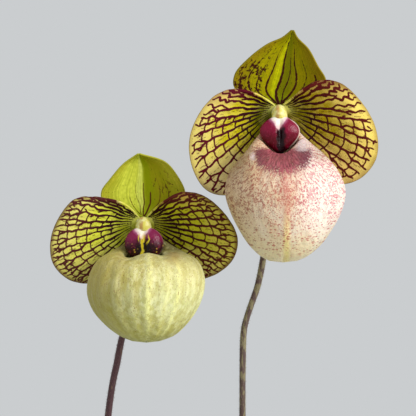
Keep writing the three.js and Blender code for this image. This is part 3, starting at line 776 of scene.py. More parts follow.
@dataclass(frozen=True)
class ShieldFinish:
    """Glossy magenta shield, near black in its heart, on a cream column, with a pale wedge at the top and a
    painted highlight along its right edge.
    """

    name: str
    lobe: tuple
    lobe_low: tuple
    core: tuple
    yellow: float
    wedge_half: float
    wedge_drop: float
    heart_half: float
    dusk: float

    def make(self) -> Material:
        """Return the column's material."""
        p = Paint(self.name)
        place = p.place()
        x, _, z = p.split(p.mark_vector("spot"))
        cloud = p.noise(place, 420.0, 3.0) - 0.5
        sway = cloud * 4.0
        swayed_z = z + sway
        lobes = p.mix(p.ramp(swayed_z, self.dusk + 3.0, self.dusk - 3.0), self.lobe, self.lobe_low)
        glow = p.noise(place, 800.0, 2.0)
        lobes = p.mix(p.ramp(glow, 0.56, 0.68) * 0.4, lobes, (152, 36, 72))
        inward = abs(x - 0.9) + sway
        heart = p.ramp(inward, self.heart_half, self.heart_half * 0.4) * p.ramp(swayed_z, -6.6, -9.4)
        colour = p.mix(heart, lobes, self.core)
        fleck = p.dots(place, 560.0, (0.32, 0.16), (0.62, 0.7)) * p.ramp(z, -8.8, -10.6) * self.yellow
        half = p.ramp(z, self.wedge_drop, -2.0, False) * self.wedge_half + 0.2
        inner = abs(x + 0.4) - half
        inner = inner + sway * 0.45
        wedge = p.ramp(inner, 0.5, -0.4) * p.ramp(z, self.wedge_drop - 0.6, self.wedge_drop + 0.8)
        fringe = p.ramp(inner, 2.0, 0.2) * p.ramp(z, self.wedge_drop - 0.5, -3.0)
        colour = p.coats(colour, (
            (fleck, (206, 170, 50)),
            (fringe * 0.45, (206, 132, 172)),
            (wedge, p.mix(p.ramp(inner, 0.1, -2.0), (226, 186, 190), (250, 243, 226))),
        ))
        wiggle = (p.noise(place, 260.0, 2.0) - 0.5) * 4.0
        stripe = 0.0
        for at, wide, lowest in ((-0.2, 1.0, -18.0), (2.4, 0.6, -11.0), (-2.2, 0.5, -9.5)):
            bent = abs(x - at + wiggle)
            drip = p.ramp(bent, wide, wide * 0.4) * p.ramp(z, lowest, lowest + 2.5)
            stripe = p.larger(stripe, drip * p.ramp(z, -3.8, -7.5))
        cream = p.mix(p.ramp(cloud, -0.1, 0.14), (238, 232, 160), (222, 212, 96))
        tan = p.ramp(abs(x + 0.8), 1.3, 0.4) * p.ramp(cloud, -0.12, 0.04)
        cream = p.mix(tan * 0.65, cream, (188, 120, 84))
        # Painted highlight: a pale line along the shield's right edge, on the side that faces the light.
        rim = p.ramp(p.mark("edge"), 0.7, 0.1) * p.ramp(x, 4.0, 7.0)
        colour = p.coats(colour, (
            (stripe * self.yellow, (222, 202, 44)),
            (p.ramp(p.mark("neck"), 0.35, 0.65), cream),
            (rim * (0.75 * (1 - self.yellow)), (240, 222, 206)),
        ))
        normal = p.bump(p.noise(place, 760.0, 2.0), 0.5, 0.0005)
        return p.finish(colour, glow * 0.2 + 0.16, normal, Specular_IOR_Level=0.16, Coat_Weight=0.1,
                        Coat_Roughness=0.05)


@dataclass(frozen=True)
class StemFinish:
    """Stem skin or ovary: olive ground under purple-brown mottles, lighter hairs."""

    name: str
    ground: tuple
    mottle: tuple
    cover: float

    def make(self) -> Material:
        """Return the stem's material."""
        p = Paint(self.name)
        place = p.place()
        cloud = p.noise(p.stretch(place, (1.0, 1.0, 0.35)), 520.0, 4.0)
        fleck = p.dots(p.stretch(place, (1.0, 1.0, 0.4)), 900.0, (0.5, 0.25), (0.4, 0.7))
        cover = p.ramp(cloud, 0.62 - 0.34 * self.cover, 0.72 - 0.34 * self.cover)
        colour = p.mix(cover, self.ground, self.mottle)
        colour = p.mix(fleck * 0.6, colour, self.mottle)
        normal = p.bump(p.noise(place, 1800.0, 2.0), 0.5, 0.0002)
        return p.finish(colour, 0.62, normal, Sheen_Weight=0.35, Sheen_Roughness=0.4)


@dataclass(frozen=True)
class HairFinish:
    """Short plant hairs, pale at the stem's edge."""

    name: str
    tone: tuple

    def make(self) -> Material:
        """Return the hairs' material."""
        p = Paint(self.name)
        cloud = p.noise(p.place(), 300.0, 2.0)
        colour = p.mix(p.ramp(cloud, 0.35, 0.65), self.tone, p.mix(0.45, self.tone, (0, 0, 0)))
        return p.finish(colour, 0.6, Sheen_Weight=0.3)


@dataclass(frozen=True)
class LeafFinish:
    """Leathery leaf: pale and dark green marbling above, purple dots on green below."""

    name: str

    def make(self) -> Material:
        """Return the leaf's material."""
        p = Paint(self.name)
        place = p.place()
        flow = p.mark_vector("flow")
        warp = p.noise(place, 90.0, 3.0)
        bands = p.noise(p.stretch(flow, (0.16, 0.34, 0.0)), 1.6, 3.0, 0.6)
        _, dice = p.cells(p.stretch(flow, (0.22, 0.13, 0.0)), 1.0)
        marble = bands * 0.9 + dice * 0.25
        marble = marble + (warp - 0.5) * 0.4
        light = p.ramp(marble, 0.5, 0.66)
        above = p.mix(light, (34, 68, 26), (112, 146, 84))
        rib = p.ramp(abs(p.split(flow)[0]), 1.3, 0.3)
        above = p.coats(above, (
            (p.ramp(p.noise(place, 420.0, 3.0), 0.45, 0.65) * 0.35, (64, 104, 50)),
            (rib * 0.55, (58, 88, 40)),
        ))
        dot = p.dots(place, 900.0, (0.42, 0.3), (0.3, 0.4)) * (p.ramp(p.mark("along"), 0.9, 0.1) * 0.55 + 0.4)
        below = p.mix(dot, (112, 136, 76), (84, 34, 52))
        colour = p.mix(p.mark("face"), below, above)
        sheath = p.ramp(p.mark("along"), 0.18, 0.05)
        colour = p.mix(sheath * 0.6, colour, (126, 146, 74))
        veins = p.noise(p.stretch(flow, (2.6, 0.03, 0.0)), 1.0, 2.0)
        normal = p.bump(veins, 0.35, 0.0003)
        normal = p.bump(p.noise(place, 1500.0, 2.0), 0.2, 0.0001, normal)
        rough = warp * 0.2 + 0.26
        return p.finish(colour, rough, normal, Specular_IOR_Level=0.22, Coat_Weight=0.04, Coat_Roughness=0.3)


@dataclass(frozen=True)
class ClayFinish:
    """Unglazed fired clay with faint turning lines, lime bloom and a damp foot."""

    name: str = "fired_clay"

    def make(self) -> Material:
        """Return the clay's material."""
        p = Paint(self.name)
        place = p.place()
        z = p.split(place)[2]
        cloud = p.noise(place, 26.0, 5.0)
        fine = p.noise(place, 900.0, 3.0)
        clay = p.mix(p.ramp(cloud, 0.34, 0.66), (186, 106, 70), (168, 90, 58))
        grain = p.dots(place, 700.0, (0.3, 0.16), (0.78, 0.84))
        patchy = p.noise(place, 38.0, 6.0, 0.4)
        low = p.ramp(z + patchy * 0.05, 0.062, 0.022)
        bloom = p.ramp(patchy, 0.5, 0.66) * (low * 0.4 + 0.09)
        damp = p.ramp(z + cloud * 0.02, 0.026, 0.012)
        clay = p.coats(clay, (
            (p.ramp(fine, 0.4, 0.7) * 0.3, (206, 134, 98)),
            (grain * 0.5, (120, 66, 44)),
            (bloom, (226, 208, 190)),
            (damp * 0.35, (118, 62, 42)),
        ))
        lines = p.noise(p.stretch(place, (8.0, 8.0, 420.0)), 1.0, 2.0)
        normal = p.bump(lines, 0.3, 0.0004)
        normal = p.bump(fine, 0.4, 0.0003, normal)
        return p.finish(clay, fine * 0.15 + 0.74, normal, Specular_IOR_Level=0.25)


@dataclass(frozen=True)
class BarkFinish:
    """Dry bark chips, each with its own tone, ridged along the grain."""

    name: str = "bark"

    def make(self) -> Material:
        """Return the bark's material."""
        p = Paint(self.name)
        place = p.place()
        tone = p.mark("tone")
        grain = p.noise(p.stretch(place, (1.0, 1.0, 3.2)), 260.0, 5.0, 0.6)
        colour = p.mix(tone, (70, 44, 28), (150, 104, 66))
        colour = p.coats(colour, (
            (p.ramp(grain, 0.4, 0.65) * 0.6, (52, 32, 22)),
            (p.ramp(p.noise(place, 700.0, 3.0), 0.52, 0.68) * 0.4, (176, 134, 94)),
        ))
        normal = p.bump(grain, 0.8, 0.0012)
        return p.finish(colour, 0.86, normal, Specular_IOR_Level=0.25)


@dataclass(frozen=True)
class RootFinish:
    """Velvety fawn skin of the crown and the roots."""

    name: str = "root"

    def make(self) -> Material:
        """Return the roots' material."""
        p = Paint(self.name)
        place = p.place()
        cloud = p.noise(place, 240.0, 4.0)
        colour = p.mix(p.ramp(cloud, 0.35, 0.65), (150, 120, 84), (104, 78, 54))
        return p.finish(colour, 0.85, p.bump(p.noise(place, 1400.0, 3.0), 0.6, 0.0003), Sheen_Weight=0.4)


# Vein nets


def depth_in(points: Array, strokes: list, reach: float = 3.0) -> Array:
    """Return each point's signed distance to the nearest stroke.

    Args:
        points: Points on the flat petal, shape (count, 2), in millimetres.
        strokes: Pairs of a line's points and its half width at each of them.
        reach: Distance past which the strokes no longer matter.

    Returns:
        Distances in millimetres, negative inside a stroke.
    """
    best = np.full(len(points), reach)
    for line, half in strokes:
        low = line.min(axis=0) - reach
        high = line.max(axis=0) + reach
        near = np.nonzero(((points > low) & (points < high)).all(axis=1))[0]
        if not len(near):
            continue
        spot = points[near][:, None]
        start = line[None, :-1]
        way = line[None, 1:] - start
        share = ((spot - start) * way).sum(-1) / np.maximum((way * way).sum(-1), 1e-9)
        share = np.clip(share, 0.0, 1.0)
        gap = np.linalg.norm(spot - start - way * share[..., None], axis=-1)
        inside = gap - lerp(half[None, :-1], half[None, 1:], share)
        best[near] = np.minimum(best[near], inside.min(axis=1))
    return best


@dataclass(frozen=True)
class NetPlan:
    """How a petal's veins run: how many, how wide, where they are tied and how they end."""

    seed: int
    veins: int
    lane: float
    half: float
    ties_from: float = 0.3
    tie_step: float = 6.0
    end_low: float = 0.96
    end_high: float = 1.0
    curl: float = 0.25
    crowd: float = 0.4
    marginal: int = 24


class VeinNet:
    """Veins that fan out from a petal's claw, fork as their lanes widen, and are tied like brickwork."""

    SAMPLES = 121
    REACH = 46.0
    MARGIN = 90.0
    ANY_PHASE = 6.3

    def __init__(self, flat: Callable, plan: NetPlan) -> None:
        """Grow the net.

        Args:
            flat: Function from shares along and across the petal to flat millimetres.
            plan: How the veins run.
        """
        self.flat = flat
        self.plan = plan
        self.rng = np.random.default_rng(plan.seed)
        self.u = np.linspace(0.0, 1.0, self.SAMPLES)
        self.strokes = []
        self.faint = []
        self.paths = []
        edges = np.linspace(0.02, 0.985, plan.veins + 1)
        edges[1:-1] += self.rng.uniform(-0.18, 0.18, plan.veins - 1) / plan.veins
        for low, high in zip(edges, edges[1:]):
            self.fork(low, high, np.full(self.SAMPLES, (low + high) / 2), -0.1)
        self.draw_veins()
        self.tie()
        self.spurs()
        self.maze()
        self.dashes()

    def phase(self) -> float:
        """Return a random place to start a wave."""
        return self.rng.uniform(0, self.ANY_PHASE)

    def index(self, at: float) -> int:
        """Return the sample at a share along."""
        return int(at * (self.SAMPLES - 1))

    def breadth(self, v: float) -> Array:
        """Return how many millimetres one unit across spans, at each sample along."""
        step = 0.02
        low = self.flat(self.u, np.full(self.SAMPLES, max(v - step, 0.0)))
        high = self.flat(self.u, np.full(self.SAMPLES, min(v + step, 1.0)))
        return np.linalg.norm(high - low, axis=-1) / (min(v + step, 1.0) - max(v - step, 0.0))

    def sway(self, v: float) -> Array:
        """Return a vein's meander along its way, in units across."""
        way = self.u * self.REACH
        upper = 1.0 - smooth((v - 0.28) / 0.16)
        slow = np.sin(way * 2 * np.pi / self.rng.uniform(11, 17) + self.phase())
        quick = np.sin(way * 2 * np.pi / self.rng.uniform(4.6, 7.2) + self.phase())
        outer = smooth((self.u - 0.55) / 0.3)
        size = (0.14 + 0.42 * upper) * slow + (0.12 + (self.plan.curl * upper + 0.16) * outer) * quick
        return size * smooth(self.u / 0.45) / self.breadth(v)

    def fork(self, low: float, high: float, path: Array, start: float) -> None:
        """Run a vein up the middle of its lane, and fork it where the lane grows too wide.

        Args:
            low: Lower side of the lane, across.
            high: Upper side of the lane, across.
            path: The way that it has come, across at each sample.
            start: Share along where it leaves that way.
        """
        middle = (low + high) / 2
        own = middle + self.sway(middle)
        path = lerp(path, own, smooth((self.u - start) / 0.11))
        crowded = 1 - self.plan.crowd * smooth((self.u - 0.68) / 0.26)
        limit = self.plan.lane * self.rng.uniform(0.86, 1.14) * crowded
        wide = np.nonzero((self.u > start + 0.13) & (self.breadth(middle) * (high - low) > limit))[0]
        if len(wide) and self.u[wide[0]] < 0.9:
            at = self.u[wide[0]]
            self.fork(low, middle, path, at)
            self.fork(middle, high, path, at)
        else:
            self.paths.append(path)

    def draw_veins(self) -> None:
        """Turn the veins' ways into strokes that swell outwards and end near the margin."""
        for path in self.paths:
            end = self.rng.uniform(self.plan.end_low, self.plan.end_high)
            hook = self.rng.choice((-1.0, 1.0)) * self.rng.uniform(0.3, 1.1) * self.plan.curl
            path += hook * smooth((self.u - end + 0.07) / 0.07) / self.breadth(float(path[-1]))
            keep = self.u <= end
            uneven = 1 + 0.16 * np.sin(self.u * self.rng.uniform(30, 55) + self.phase())
            half = self.plan.half * lerp(-0.2, 1.0, smooth((self.u - 0.02) / 0.3)) * uneven
            half = half * lerp(1.0, 0.72, smooth((self.u - 0.82) / 0.15))
            self.strokes.append((self.flat(self.u[keep], path[keep]), half[keep]))

    def tie(self) -> None:
        """Tie neighbouring veins with short cross veins, staggered like bricks."""
        for first, second in zip(self.paths, self.paths[1:]):
            at = 0.26 + self.rng.uniform(0.0, 0.13)
            while at < 0.93:
                k = self.index(at)
                v = float(first[k] + second[k]) / 2
                gap = (second[k] - first[k]) * self.breadth(v)[k]
                likely = smooth((v - self.plan.ties_from + 0.05) / 0.12)
                if gap > 1.5 and self.rng.uniform() < likely:
                    lean = self.rng.normal(0.0, 0.007)
                    share = np.linspace(0.0, 1.0, 7)
                    u = np.clip(at + lean * (share - 0.5) + 0.008 * np.sin(np.pi * share), 0, 1)
                    across = lerp(first[k], second[k], share)
                    half = self.plan.half * 0.9 * (1 - 0.25 * np.sin(np.pi * share))
                    self.strokes.append((self.flat(u, across), half))
                at += self.plan.tie_step / self.REACH * self.rng.uniform(0.7, 1.35) * lerp(1.1, 0.75, at)

    def spurs(self) -> None:
        """Add free side branches in the upper third, where the veins aren't tied."""
        for path in self.paths:
            if path[-1] > self.plan.ties_from + 0.04:
                continue
            for at in np.arange(self.rng.uniform(0.5, 0.75), 0.9, self.rng.uniform(0.18, 0.3)):
                k = self.index(at)
                turn = self.rng.choice((-1.0, 1.0))
                length = self.rng.uniform(1.2, 2.5)
                share = np.linspace(0.0, 1.0, 7)
                u = np.clip(at + 0.022 * length * share, 0, 0.985)
                v = path[k] + turn * length * 0.7 * np.sin(share * 1.4) / self.breadth(float(path[k]))[k]
                self.strokes.append((self.flat(u, v), np.full(7, self.plan.half * 0.85)))

    def maze(self) -> None:
        """Add the short wavy strokes that fill the margin between the veins' ends."""
        for _ in range(self.plan.marginal):
            u0 = self.rng.uniform(0.84, 0.965)
            v0 = self.rng.uniform(self.plan.ties_from if self.plan.crowd < 0.2 else 0.06, 0.97)
            length = self.rng.uniform(1.2, 3.4)
            heading = self.rng.uniform(-1.2, 1.2)
            share = np.linspace(-0.5, 0.5, 9)
            wave = 0.4 * np.sin(share * 7 + self.phase())
            u = u0 + (share * math.cos(heading) * length + wave * math.sin(heading)) / self.REACH
            v = v0 + (share * math.sin(heading) * length + wave * math.cos(heading)) / self.MARGIN
            u = np.clip(u, 0.7, 0.99)
            half = np.full(9, self.plan.half * self.rng.uniform(0.55, 0.8))
            self.strokes.append((self.flat(u, np.clip(v, 0.01, 0.99)), half))

    def dashes(self) -> None:
        """Add the faint dashes that lie in the cells and the dots that lie near the claw."""
        for first, second in zip(self.paths, self.paths[1:]):
            for at in np.arange(0.36, 0.9, 0.045):
                k = self.index(at)
                v = float(first[k] + second[k]) / 2
                gap = (second[k] - first[k]) * self.breadth(v)[k]
                if gap > 2.2 and v > self.plan.ties_from - 0.05 and self.rng.uniform() < 0.6:
                    reach = np.linspace(-0.5, 0.5, 4) * self.rng.uniform(0.5, 2.0) / self.REACH
                    shift = self.rng.uniform(-0.28, 0.28) * (second[k] - first[k])
                    self.faint.append((self.flat(at + reach, np.full(4, v + shift)), np.full(4, 0.2)))
        for path in self.paths:
            for at in np.arange(self.rng.uniform(0.05, 0.08), 0.17, 0.035):
                k = self.index(at)
                reach = np.linspace(0.0, 0.016, 3)
                self.strokes.append((self.flat(at + reach, np.full(3, path[k])), np.full(3, 0.17)))


# Flower


@dataclass(frozen=True)
class SepalForm:
    """A sepal's two side outlines from its base to its tip, and how it cups."""

    left: tuple
    right: tuple
    fold: float
    hood: float
    base_y: float
    backward: float
    thicker: float
    veins: tuple = ()
    flecks: int = 0
    fleck_at: float = 0.0
    fleck_low: float = 0.3
    seed: int = 1
    grid: tuple = (104, 120)


@dataclass(frozen=True)
class PetalForm:
    """A petal's outline from the top of its claw round to its lower edge."""

    side: int
    outline: tuple
    bow: float
    plan: NetPlan


@dataclass(frozen=True)
class PouchForm:
    """A pouch as rings of height, half width, middle, front, back, front drop and back rise."""

    bottom: tuple
    rings: tuple
    ribs: int
    rib_height: float
    lip: float
    ridges: tuple


@dataclass(frozen=True)
class ShieldForm:
    """The shield in front of the mouth: its size, where it lies and how its lower half narrows."""

    width: float
    top: float
    bottom: float
    lean: float
    thickness: float
    widest: float
    square: float
    pinch: float


@dataclass(frozen=True)
class StemForm:
    """A flower stem's radius, its path as pairs of x and z, and how far its top leans."""

    radius: float
    path: tuple
    top_lean: float
    growth_x: float


class Tone(Enum):
    """The two colourings of bloom."""

    GREEN = "green"
    PINK = "pink"


@dataclass(frozen=True)
class FlowerFinish:
    """The finishes of one bloom, with one for each petal."""

    petals: tuple
    dorsal: SepalFinish
    synsepal: SepalFinish
    pouch: object
    shield: ShieldFinish
    stem: StemFinish
    hair: HairFinish
    ovary: StemFinish


@dataclass
class Flower:
    """One bloom with its ovary, bract and stem, in millimetres from its middle."""

    name: str
    tone: Tone
    centre: tuple
    dorsal: SepalForm
    synsepal: SepalForm
    petals: tuple
    pouch: PouchForm
    shield: ShieldForm
    stem: StemForm
    finish: FlowerFinish
    blade_thickness: float = 0.9
    boss_radius: float = 3.0
    boss_back: float = 5.0
    clearance: float = 0.35
    ovary_length: float = 38.0
    ovary_back: float = 13.0
    bract_thickness: float = 0.7
    bract_reach: float = 0.5
    bract_radius: float = 3.55
    pouch_wall: float = 1.1
    petal_y: float = 0.6
    petal_cup: float = 9.0
    petal_curl: float = 1.7
    petal_root: float = 0.9
    pouch_notch: float = 0.9
    brow_at: tuple = (2.0, -15.0)
    shield_front: float = -14.6
    shield_edge: float = 1.2
    shield_tilt: float = 0.12
    stem_hair: float = 0.95
    ovary_hair: float = 0.9
    hair_width: float = 0.05
    crown_top: float = 78.0
    petal_grid: tuple = (92, 250)
    pouch_grid: tuple = (150, 220)
    pouch_inner_rings: int = 34
    neck_grid: tuple = (40, 40)
    shield_grid: tuple = (40, 120)
    stem_grid: tuple = (260, 20)
    stem_hairs: int = 3400
    ovary_grid: tuple = (90, 48)
    ovary_hairs: int = 1500
    bract_grid: tuple = (40, 44)

    def build(self) -> None:
        """Make every piece of the bloom."""
        self.build_sepal("dorsal_sepal", self.dorsal, self.finish.dorsal)
        self.build_sepal("synsepal", self.synsepal, self.finish.synsepal)
        for form, finish in zip(self.petals, self.finish.petals):
            self.build_petal(form, finish.make())
        self.build_pouch()
        self.build_column()
        self.build_stem()
        self.build_ovary()
        self.build_bract()

    def build_piece(self, skin: Skin, part: str, material: Material, slot: str) -> None:
        """Make the object of one of the bloom's parts, in place of its node."""
        node = f"{part}_{self.name}"
        skin.build(node + "_skin", material, slot, node)

    def sepal_middle(self, form: SepalForm, u: Array, v: Array) -> Array:
        """Return the middle surface of a sepal, from the flower's middle.

        Args:
            form: The sepal.
            u: Shares from base to tip, a grid.
            v: Shares from left to right, a grid.

        Returns:
            Points of shape (rows, columns, 3).
        """
        left, right = (Spline(side).at(u[:, 0]) for side in (form.left, form.right))
        width = np.linalg.norm(right - left, axis=-1)[:, None] / SEPAL_SPAN
        plane = lerp(left[:, None], right[:, None], v[..., None])
        side = 2 * v - 1
        y = form.base_y + form.backward * np.sin(u * np.pi * 0.55) + form.hood * u ** 3
        y = y + form.fold * side * side * width * smooth((u - 0.1) / 0.7)
        return xyz(plane[..., 0], y, plane[..., 1])

    def build_sepal(self, part: str, form: SepalForm, finish: SepalFinish) -> None:
        """Make a sepal with its veins and flecks.

        Args:
            part: Start of the piece's name.
            form: The sepal.
            finish: Its finish.
        """
        u, v = share_grid(*form.grid)
        middle = self.sepal_middle(form, u, v)
        plane = middle[..., [0, 2]]
        rng = np.random.default_rng(form.seed)
        left, right = Spline(form.left), Spline(form.right)

        def flat(along: Array, across: Array) -> Array:
            """Return flat places on the sepal."""
            return lerp(left.at(along), right.at(along), across[..., None])

        strokes = []
        for place, half, low, high in form.veins:
            along = np.linspace(low, high, 60)
            across = place + 0.012 * np.sin(along * rng.uniform(9, 16) + rng.uniform(0, 6.3))
            across = across + 0.1 * (place - 0.5) * np.sin(np.pi * along)
            strokes.append((flat(along, across), half * lerp(1.15, 0.6, along)))
        for _ in range(form.flecks):
            at = rng.uniform(form.fleck_low, 0.86)
            across = np.clip(form.fleck_at + rng.uniform(-0.16, 0.16), 0.02, 0.98)
            share = np.linspace(-0.5, 0.5, 5)
            length = rng.uniform(0.4, 2.8)
            heading = rng.normal(0.0, 0.6)
            way = share * length / SEPAL_SPAN
            line_u = np.clip(at + way * math.cos(heading), 0, 1)
            line_v = np.clip(across + way * math.sin(heading) + 0.01 * np.sin(share * 9), 0, 1)
            strokes.append((flat(line_u, line_v), np.full(5, rng.uniform(0.14, 0.3))))
        vein = depth_in(plane.reshape(-1, 2), strokes).reshape(form.grid)
        span = np.linalg.norm(plane[:, -1] - plane[:, 0], axis=-1)[:, None]
        edge = np.minimum(v, 1 - v) * span
        thickness = self.blade_thickness + form.thicker * (1 - u) ** 4
        marks = {"along": u, "across": v, "vein": vein, "edge": edge, "flow": xyz(v, u, 0.0)}
        self.build_piece(blade(middle + self.centre, thickness, marks), part, finish.make(), "sepal")

    def build_petal(self, form: PetalForm, material: Material) -> None:
        """Make a petal with its net of veins.

        Args:
            form: The petal.
            material: Its finish.
        """
        outline = Spline(form.outline)
        claw = self.boss_radius + self.clearance + 0.1
        top, foot = CLAW_TURN

        def flat(u: Array, v: Array) -> Array:
            """Return flat places on the petal."""
            turn = lerp(top, foot, v)
            root = claw * xyz(form.side * np.sin(turn), np.cos(turn))
            place = lerp(root, outline.at(v), u[..., None])
            place[..., 1] += form.bow * np.sin(np.pi * u) * (1 - v) ** 4
            return place

        u, v = share_grid(*self.petal_grid)
        plane = flat(u, v)
        cup = self.petal_cup * (1 - 0.7 * smooth((v - 0.5) / 0.4)) * np.sin(np.pi / 2 * u) ** 1.7
        curl = self.petal_curl * smooth((u - 0.78) / 0.22)
        wave = 0.6 * u ** 3 * np.sin(v * 17 + form.side) * (1 - smooth((v - 0.75) / 0.25))
        channels = 0.16 * np.sin(v * 2 * np.pi * form.plan.veins) * smooth(u / 0.4)
        middle = xyz(plane[..., 0], self.petal_y - cup + curl + wave + channels, plane[..., 1])
        spots = plane.reshape(-1, 2)
        net = VeinNet(flat, form.plan)
        bold = depth_in(spots, net.strokes)
        faint = depth_in(spots, net.faint)
        vein = np.minimum(bold, faint).reshape(self.petal_grid)
        pale = (faint < bold - 0.1).astype(float).reshape(self.petal_grid)
        rim = outline.at(np.linspace(0, 1, 160))
        edge = depth_in(spots, [(rim, np.zeros(160))], 4.0).reshape(self.petal_grid)
        thickness = self.blade_thickness + self.petal_root * (1 - u) ** 5
        marks = {"along": u, "across": v, "vein": vein, "edge": edge, "pale": pale}
        part = "left_petal" if form.side < 0 else "right_petal"
        self.build_piece(blade(middle + self.centre, thickness, marks), part, material, "petal")

    def pouch_points(self, t: Array, angle: Array) -> Array:
        """Return points on the pouch's outside, from the flower's middle.

        Args:
            t: Shares from the lowest ring to the inrolled rim, a grid.
            angle: Angles round the pouch from its front, a grid.

        Returns:
            Points of shape (rows, columns, 3).
        """
        rings = np.array(self.pouch.rings, dtype=float)
        last = len(rings) - 1
        place = t[:, 0] * last
        k = np.clip(place.astype(int), 0, last - 1)
        f = (place - k)[:, None]
        padded = np.vstack([2 * rings[0] - rings[1], rings, 2 * rings[-1] - rings[-2]])
        p0, p1, p2, p3 = (padded[k + shift] for shift in range(4))
        table = 0.5 * (2 * p1 + (p2 - p0) * f + (2 * p0 - 5 * p1 + 4 * p2 - p3) * f ** 2
                       + (3 * p1 - p0 - 3 * p2 + p3) * f ** 3)
        z, width, x, front, back, drop, rise = (column[:, None] for column in table.T)
        to_front = np.cos(angle)
        body = np.sin(np.pi * np.minimum(t * 1.25, 1)) ** 0.8
        lumps = 0.3 * np.sin(3 * angle + 9 * t) * np.sin(5 * angle - 4 * t + 1.0)
        rib = self.pouch.rib_height * (0.2 * np.cos(self.pouch.ribs * angle) + self.ridge(angle) + lumps)
        rib = rib * body / width
        forward, rearward = np.maximum(to_front, 0), np.maximum(-to_front, 0)
        shift = rise * rearward ** 1.6 - drop * forward ** (1 + self.pouch.lip)
        narrow = np.where(to_front < 0, 1 - 0.25 * to_front ** 2 * (rise / 12), 1)
        y = (front + back) / 2 - (back - front) / 2 * to_front * (1 + rib)
        points = xyz(x + width * np.sin(angle) * (1 + rib) * narrow, y, z + shift)
        points[..., 2] += bell(angle, 0.12) * (1 - smooth(t / 0.22)) * self.pouch_notch
        return self.dent_rim(points, t, to_front)

    def ridge(self, angle: Array) -> Array:
        """Return how strongly the pouch's few tall ridges stand out at an angle, 0 to 1."""
        wrapped = (angle + np.pi) % (2 * np.pi) - np.pi
        return sum(height * bell(wrapped - at, 0.085) for at, height in self.pouch.ridges)

    def dent_rim(self, points: Array, t: Array, to_front: Array) -> Array:
        """Lower the green pouch's brink in two shallow dips beside its middle."""
        if self.tone is Tone.PINK:
            return points
        upper = smooth((t - 0.56) / 0.12) * smooth(to_front / 0.3)
        dips = 2.3 * bell(points[..., 0] + 7.0, 4.4) + 1.3 * bell(points[..., 0] - 10.5, 3.4)
        points[..., 2] -= upper * (dips - 0.5 * bell(points[..., 0] - 2.5, 2.5))
        return points

    def build_pouch(self) -> None:
        """Make the hollow pouch with its inrolled mouth."""
        rows, columns = self.pouch_grid
        t, angle = np.meshgrid(np.linspace(0, 1, rows), turns(columns) - np.pi, indexing="ij")
        outer = self.pouch_points(t, angle)
        normal = grid_normals(outer, closed=True)
        middle = outer.mean(axis=(0, 1))
        if ((outer - middle) * normal)[: rows // 2].sum() < 0:
            normal = -normal
        inner_rows = np.linspace(rows - 1, 0, self.pouch_inner_rings).astype(int)
        inner = outer[inner_rows] - normal[inner_rows] * self.pouch_wall
        meridian = np.concatenate([[np.zeros(columns)],
                                   np.cumsum(np.linalg.norm(np.diff(outer, axis=0), axis=-1), axis=0)])
        radius = np.linalg.norm(outer[:, columns // 4] - outer[:, 3 * columns // 4], axis=-1)[:, None] / 2
        skin_mark = xyz(radius * np.sin(angle), radius * np.cos(angle), meridian * 0.45)
        from_brow = outer[..., [0, 2]] - self.brow_at
        ray = np.arctan2(from_brow[..., 0], -from_brow[..., 1])
        flow = xyz(ray * 14.0, np.hypot(*np.moveaxis(from_brow, -1, 0)), 9.0 * np.sign(np.cos(angle)))
        masks = self.pouch_masks(outer, t, np.cos(angle))
        body = smooth(t / 0.15) * (1 - smooth((t - 0.62) / 0.2))
        furrow_shade = (1 - np.cos(max(self.pouch.ribs, 1) * angle)) / 2 * body
        marks = {"skin": skin_mark, "flow": flow, "front": outer, "furrow_shade": furrow_shade,
                 "ridge": self.ridge(angle), "inside": np.zeros_like(t), **masks}
        inside = {key: value[inner_rows] for key, value in marks.items()}
        inside["inside"] += smooth(np.linspace(0, 8, self.pouch_inner_rings))[:, None]
        rings = np.concatenate([outer, inner])
        both = {key: np.concatenate([marks[key], inside[key]]) for key in marks}
        pole = np.array(self.pouch.bottom)
        skin = loft(rings, pole, pole + np.array([0, 0, self.pouch_wall]), both)
        skin.points += self.centre
        self.build_piece(skin, "pouch", self.finish.pouch.make(), self.finish.pouch.name)

    def pouch_masks(self, outer: Array, t: Array, to_front: Array) -> dict:
        """Return where the pouch's mouth is tinted, where painted highlights lie and where painted shade
        lies.

        Args:
            outer: Points on the outside, from the flower's middle.
            t: Shares from the lowest ring to the rim.
            to_front: 1 at the front and -1 at the back.

        Returns:
            The tint, the painted highlight and the painted shade, each from 0 to 1, by name.
        """
        x, _, z = (outer[..., k] for k in range(3))
        front = smooth((to_front + 0.1) / 0.3)
        if self.tone is Tone.GREEN:
            tint = 0.6 * bell(x + 10.5, 5.5) + bell(x - 15.5, 6.5)
            return {"brow": tint * smooth((z + 27.0) / 12.0) * front, "highlight_patch": 0 * t, "shade": 0 * t}
        lowest = -30.5 + ((x - 1.5) / 16.0) ** 2 * 7.0
        ends = 1 - smooth((np.abs(x - 1.5) - 10.5) / 7.0)
        brow = smooth((z - lowest + 5.0) / 9.0) * ends * front * (1 - smooth((z + 20.0) / 3.5))
        # Painted highlights: a small pale glint at the left end of the brow and a pale lit rim right of the
        # shield.
        left_highlight = 0.75 * bell(x + 13.5, 2.4) * bell(z + 22.5, 3.4)
        right_rim_highlight = 0.8 * bell(x - 11.0, 4.6) * smooth((z + 21.5) / 2.5)
        left_shade = smooth((-x - 12.0) / 6.0) * smooth((z + 40.0) / 16.0)
        right_shade = 0.7 * smooth((x - 15.5) / 3.0) * smooth((z + 27.0) / 5.0)
        highlight_patch = np.clip((left_highlight + right_rim_highlight) * front, 0, 1)
        return {"brow": brow, "highlight_patch": highlight_patch, "shade": left_shade + right_shade}

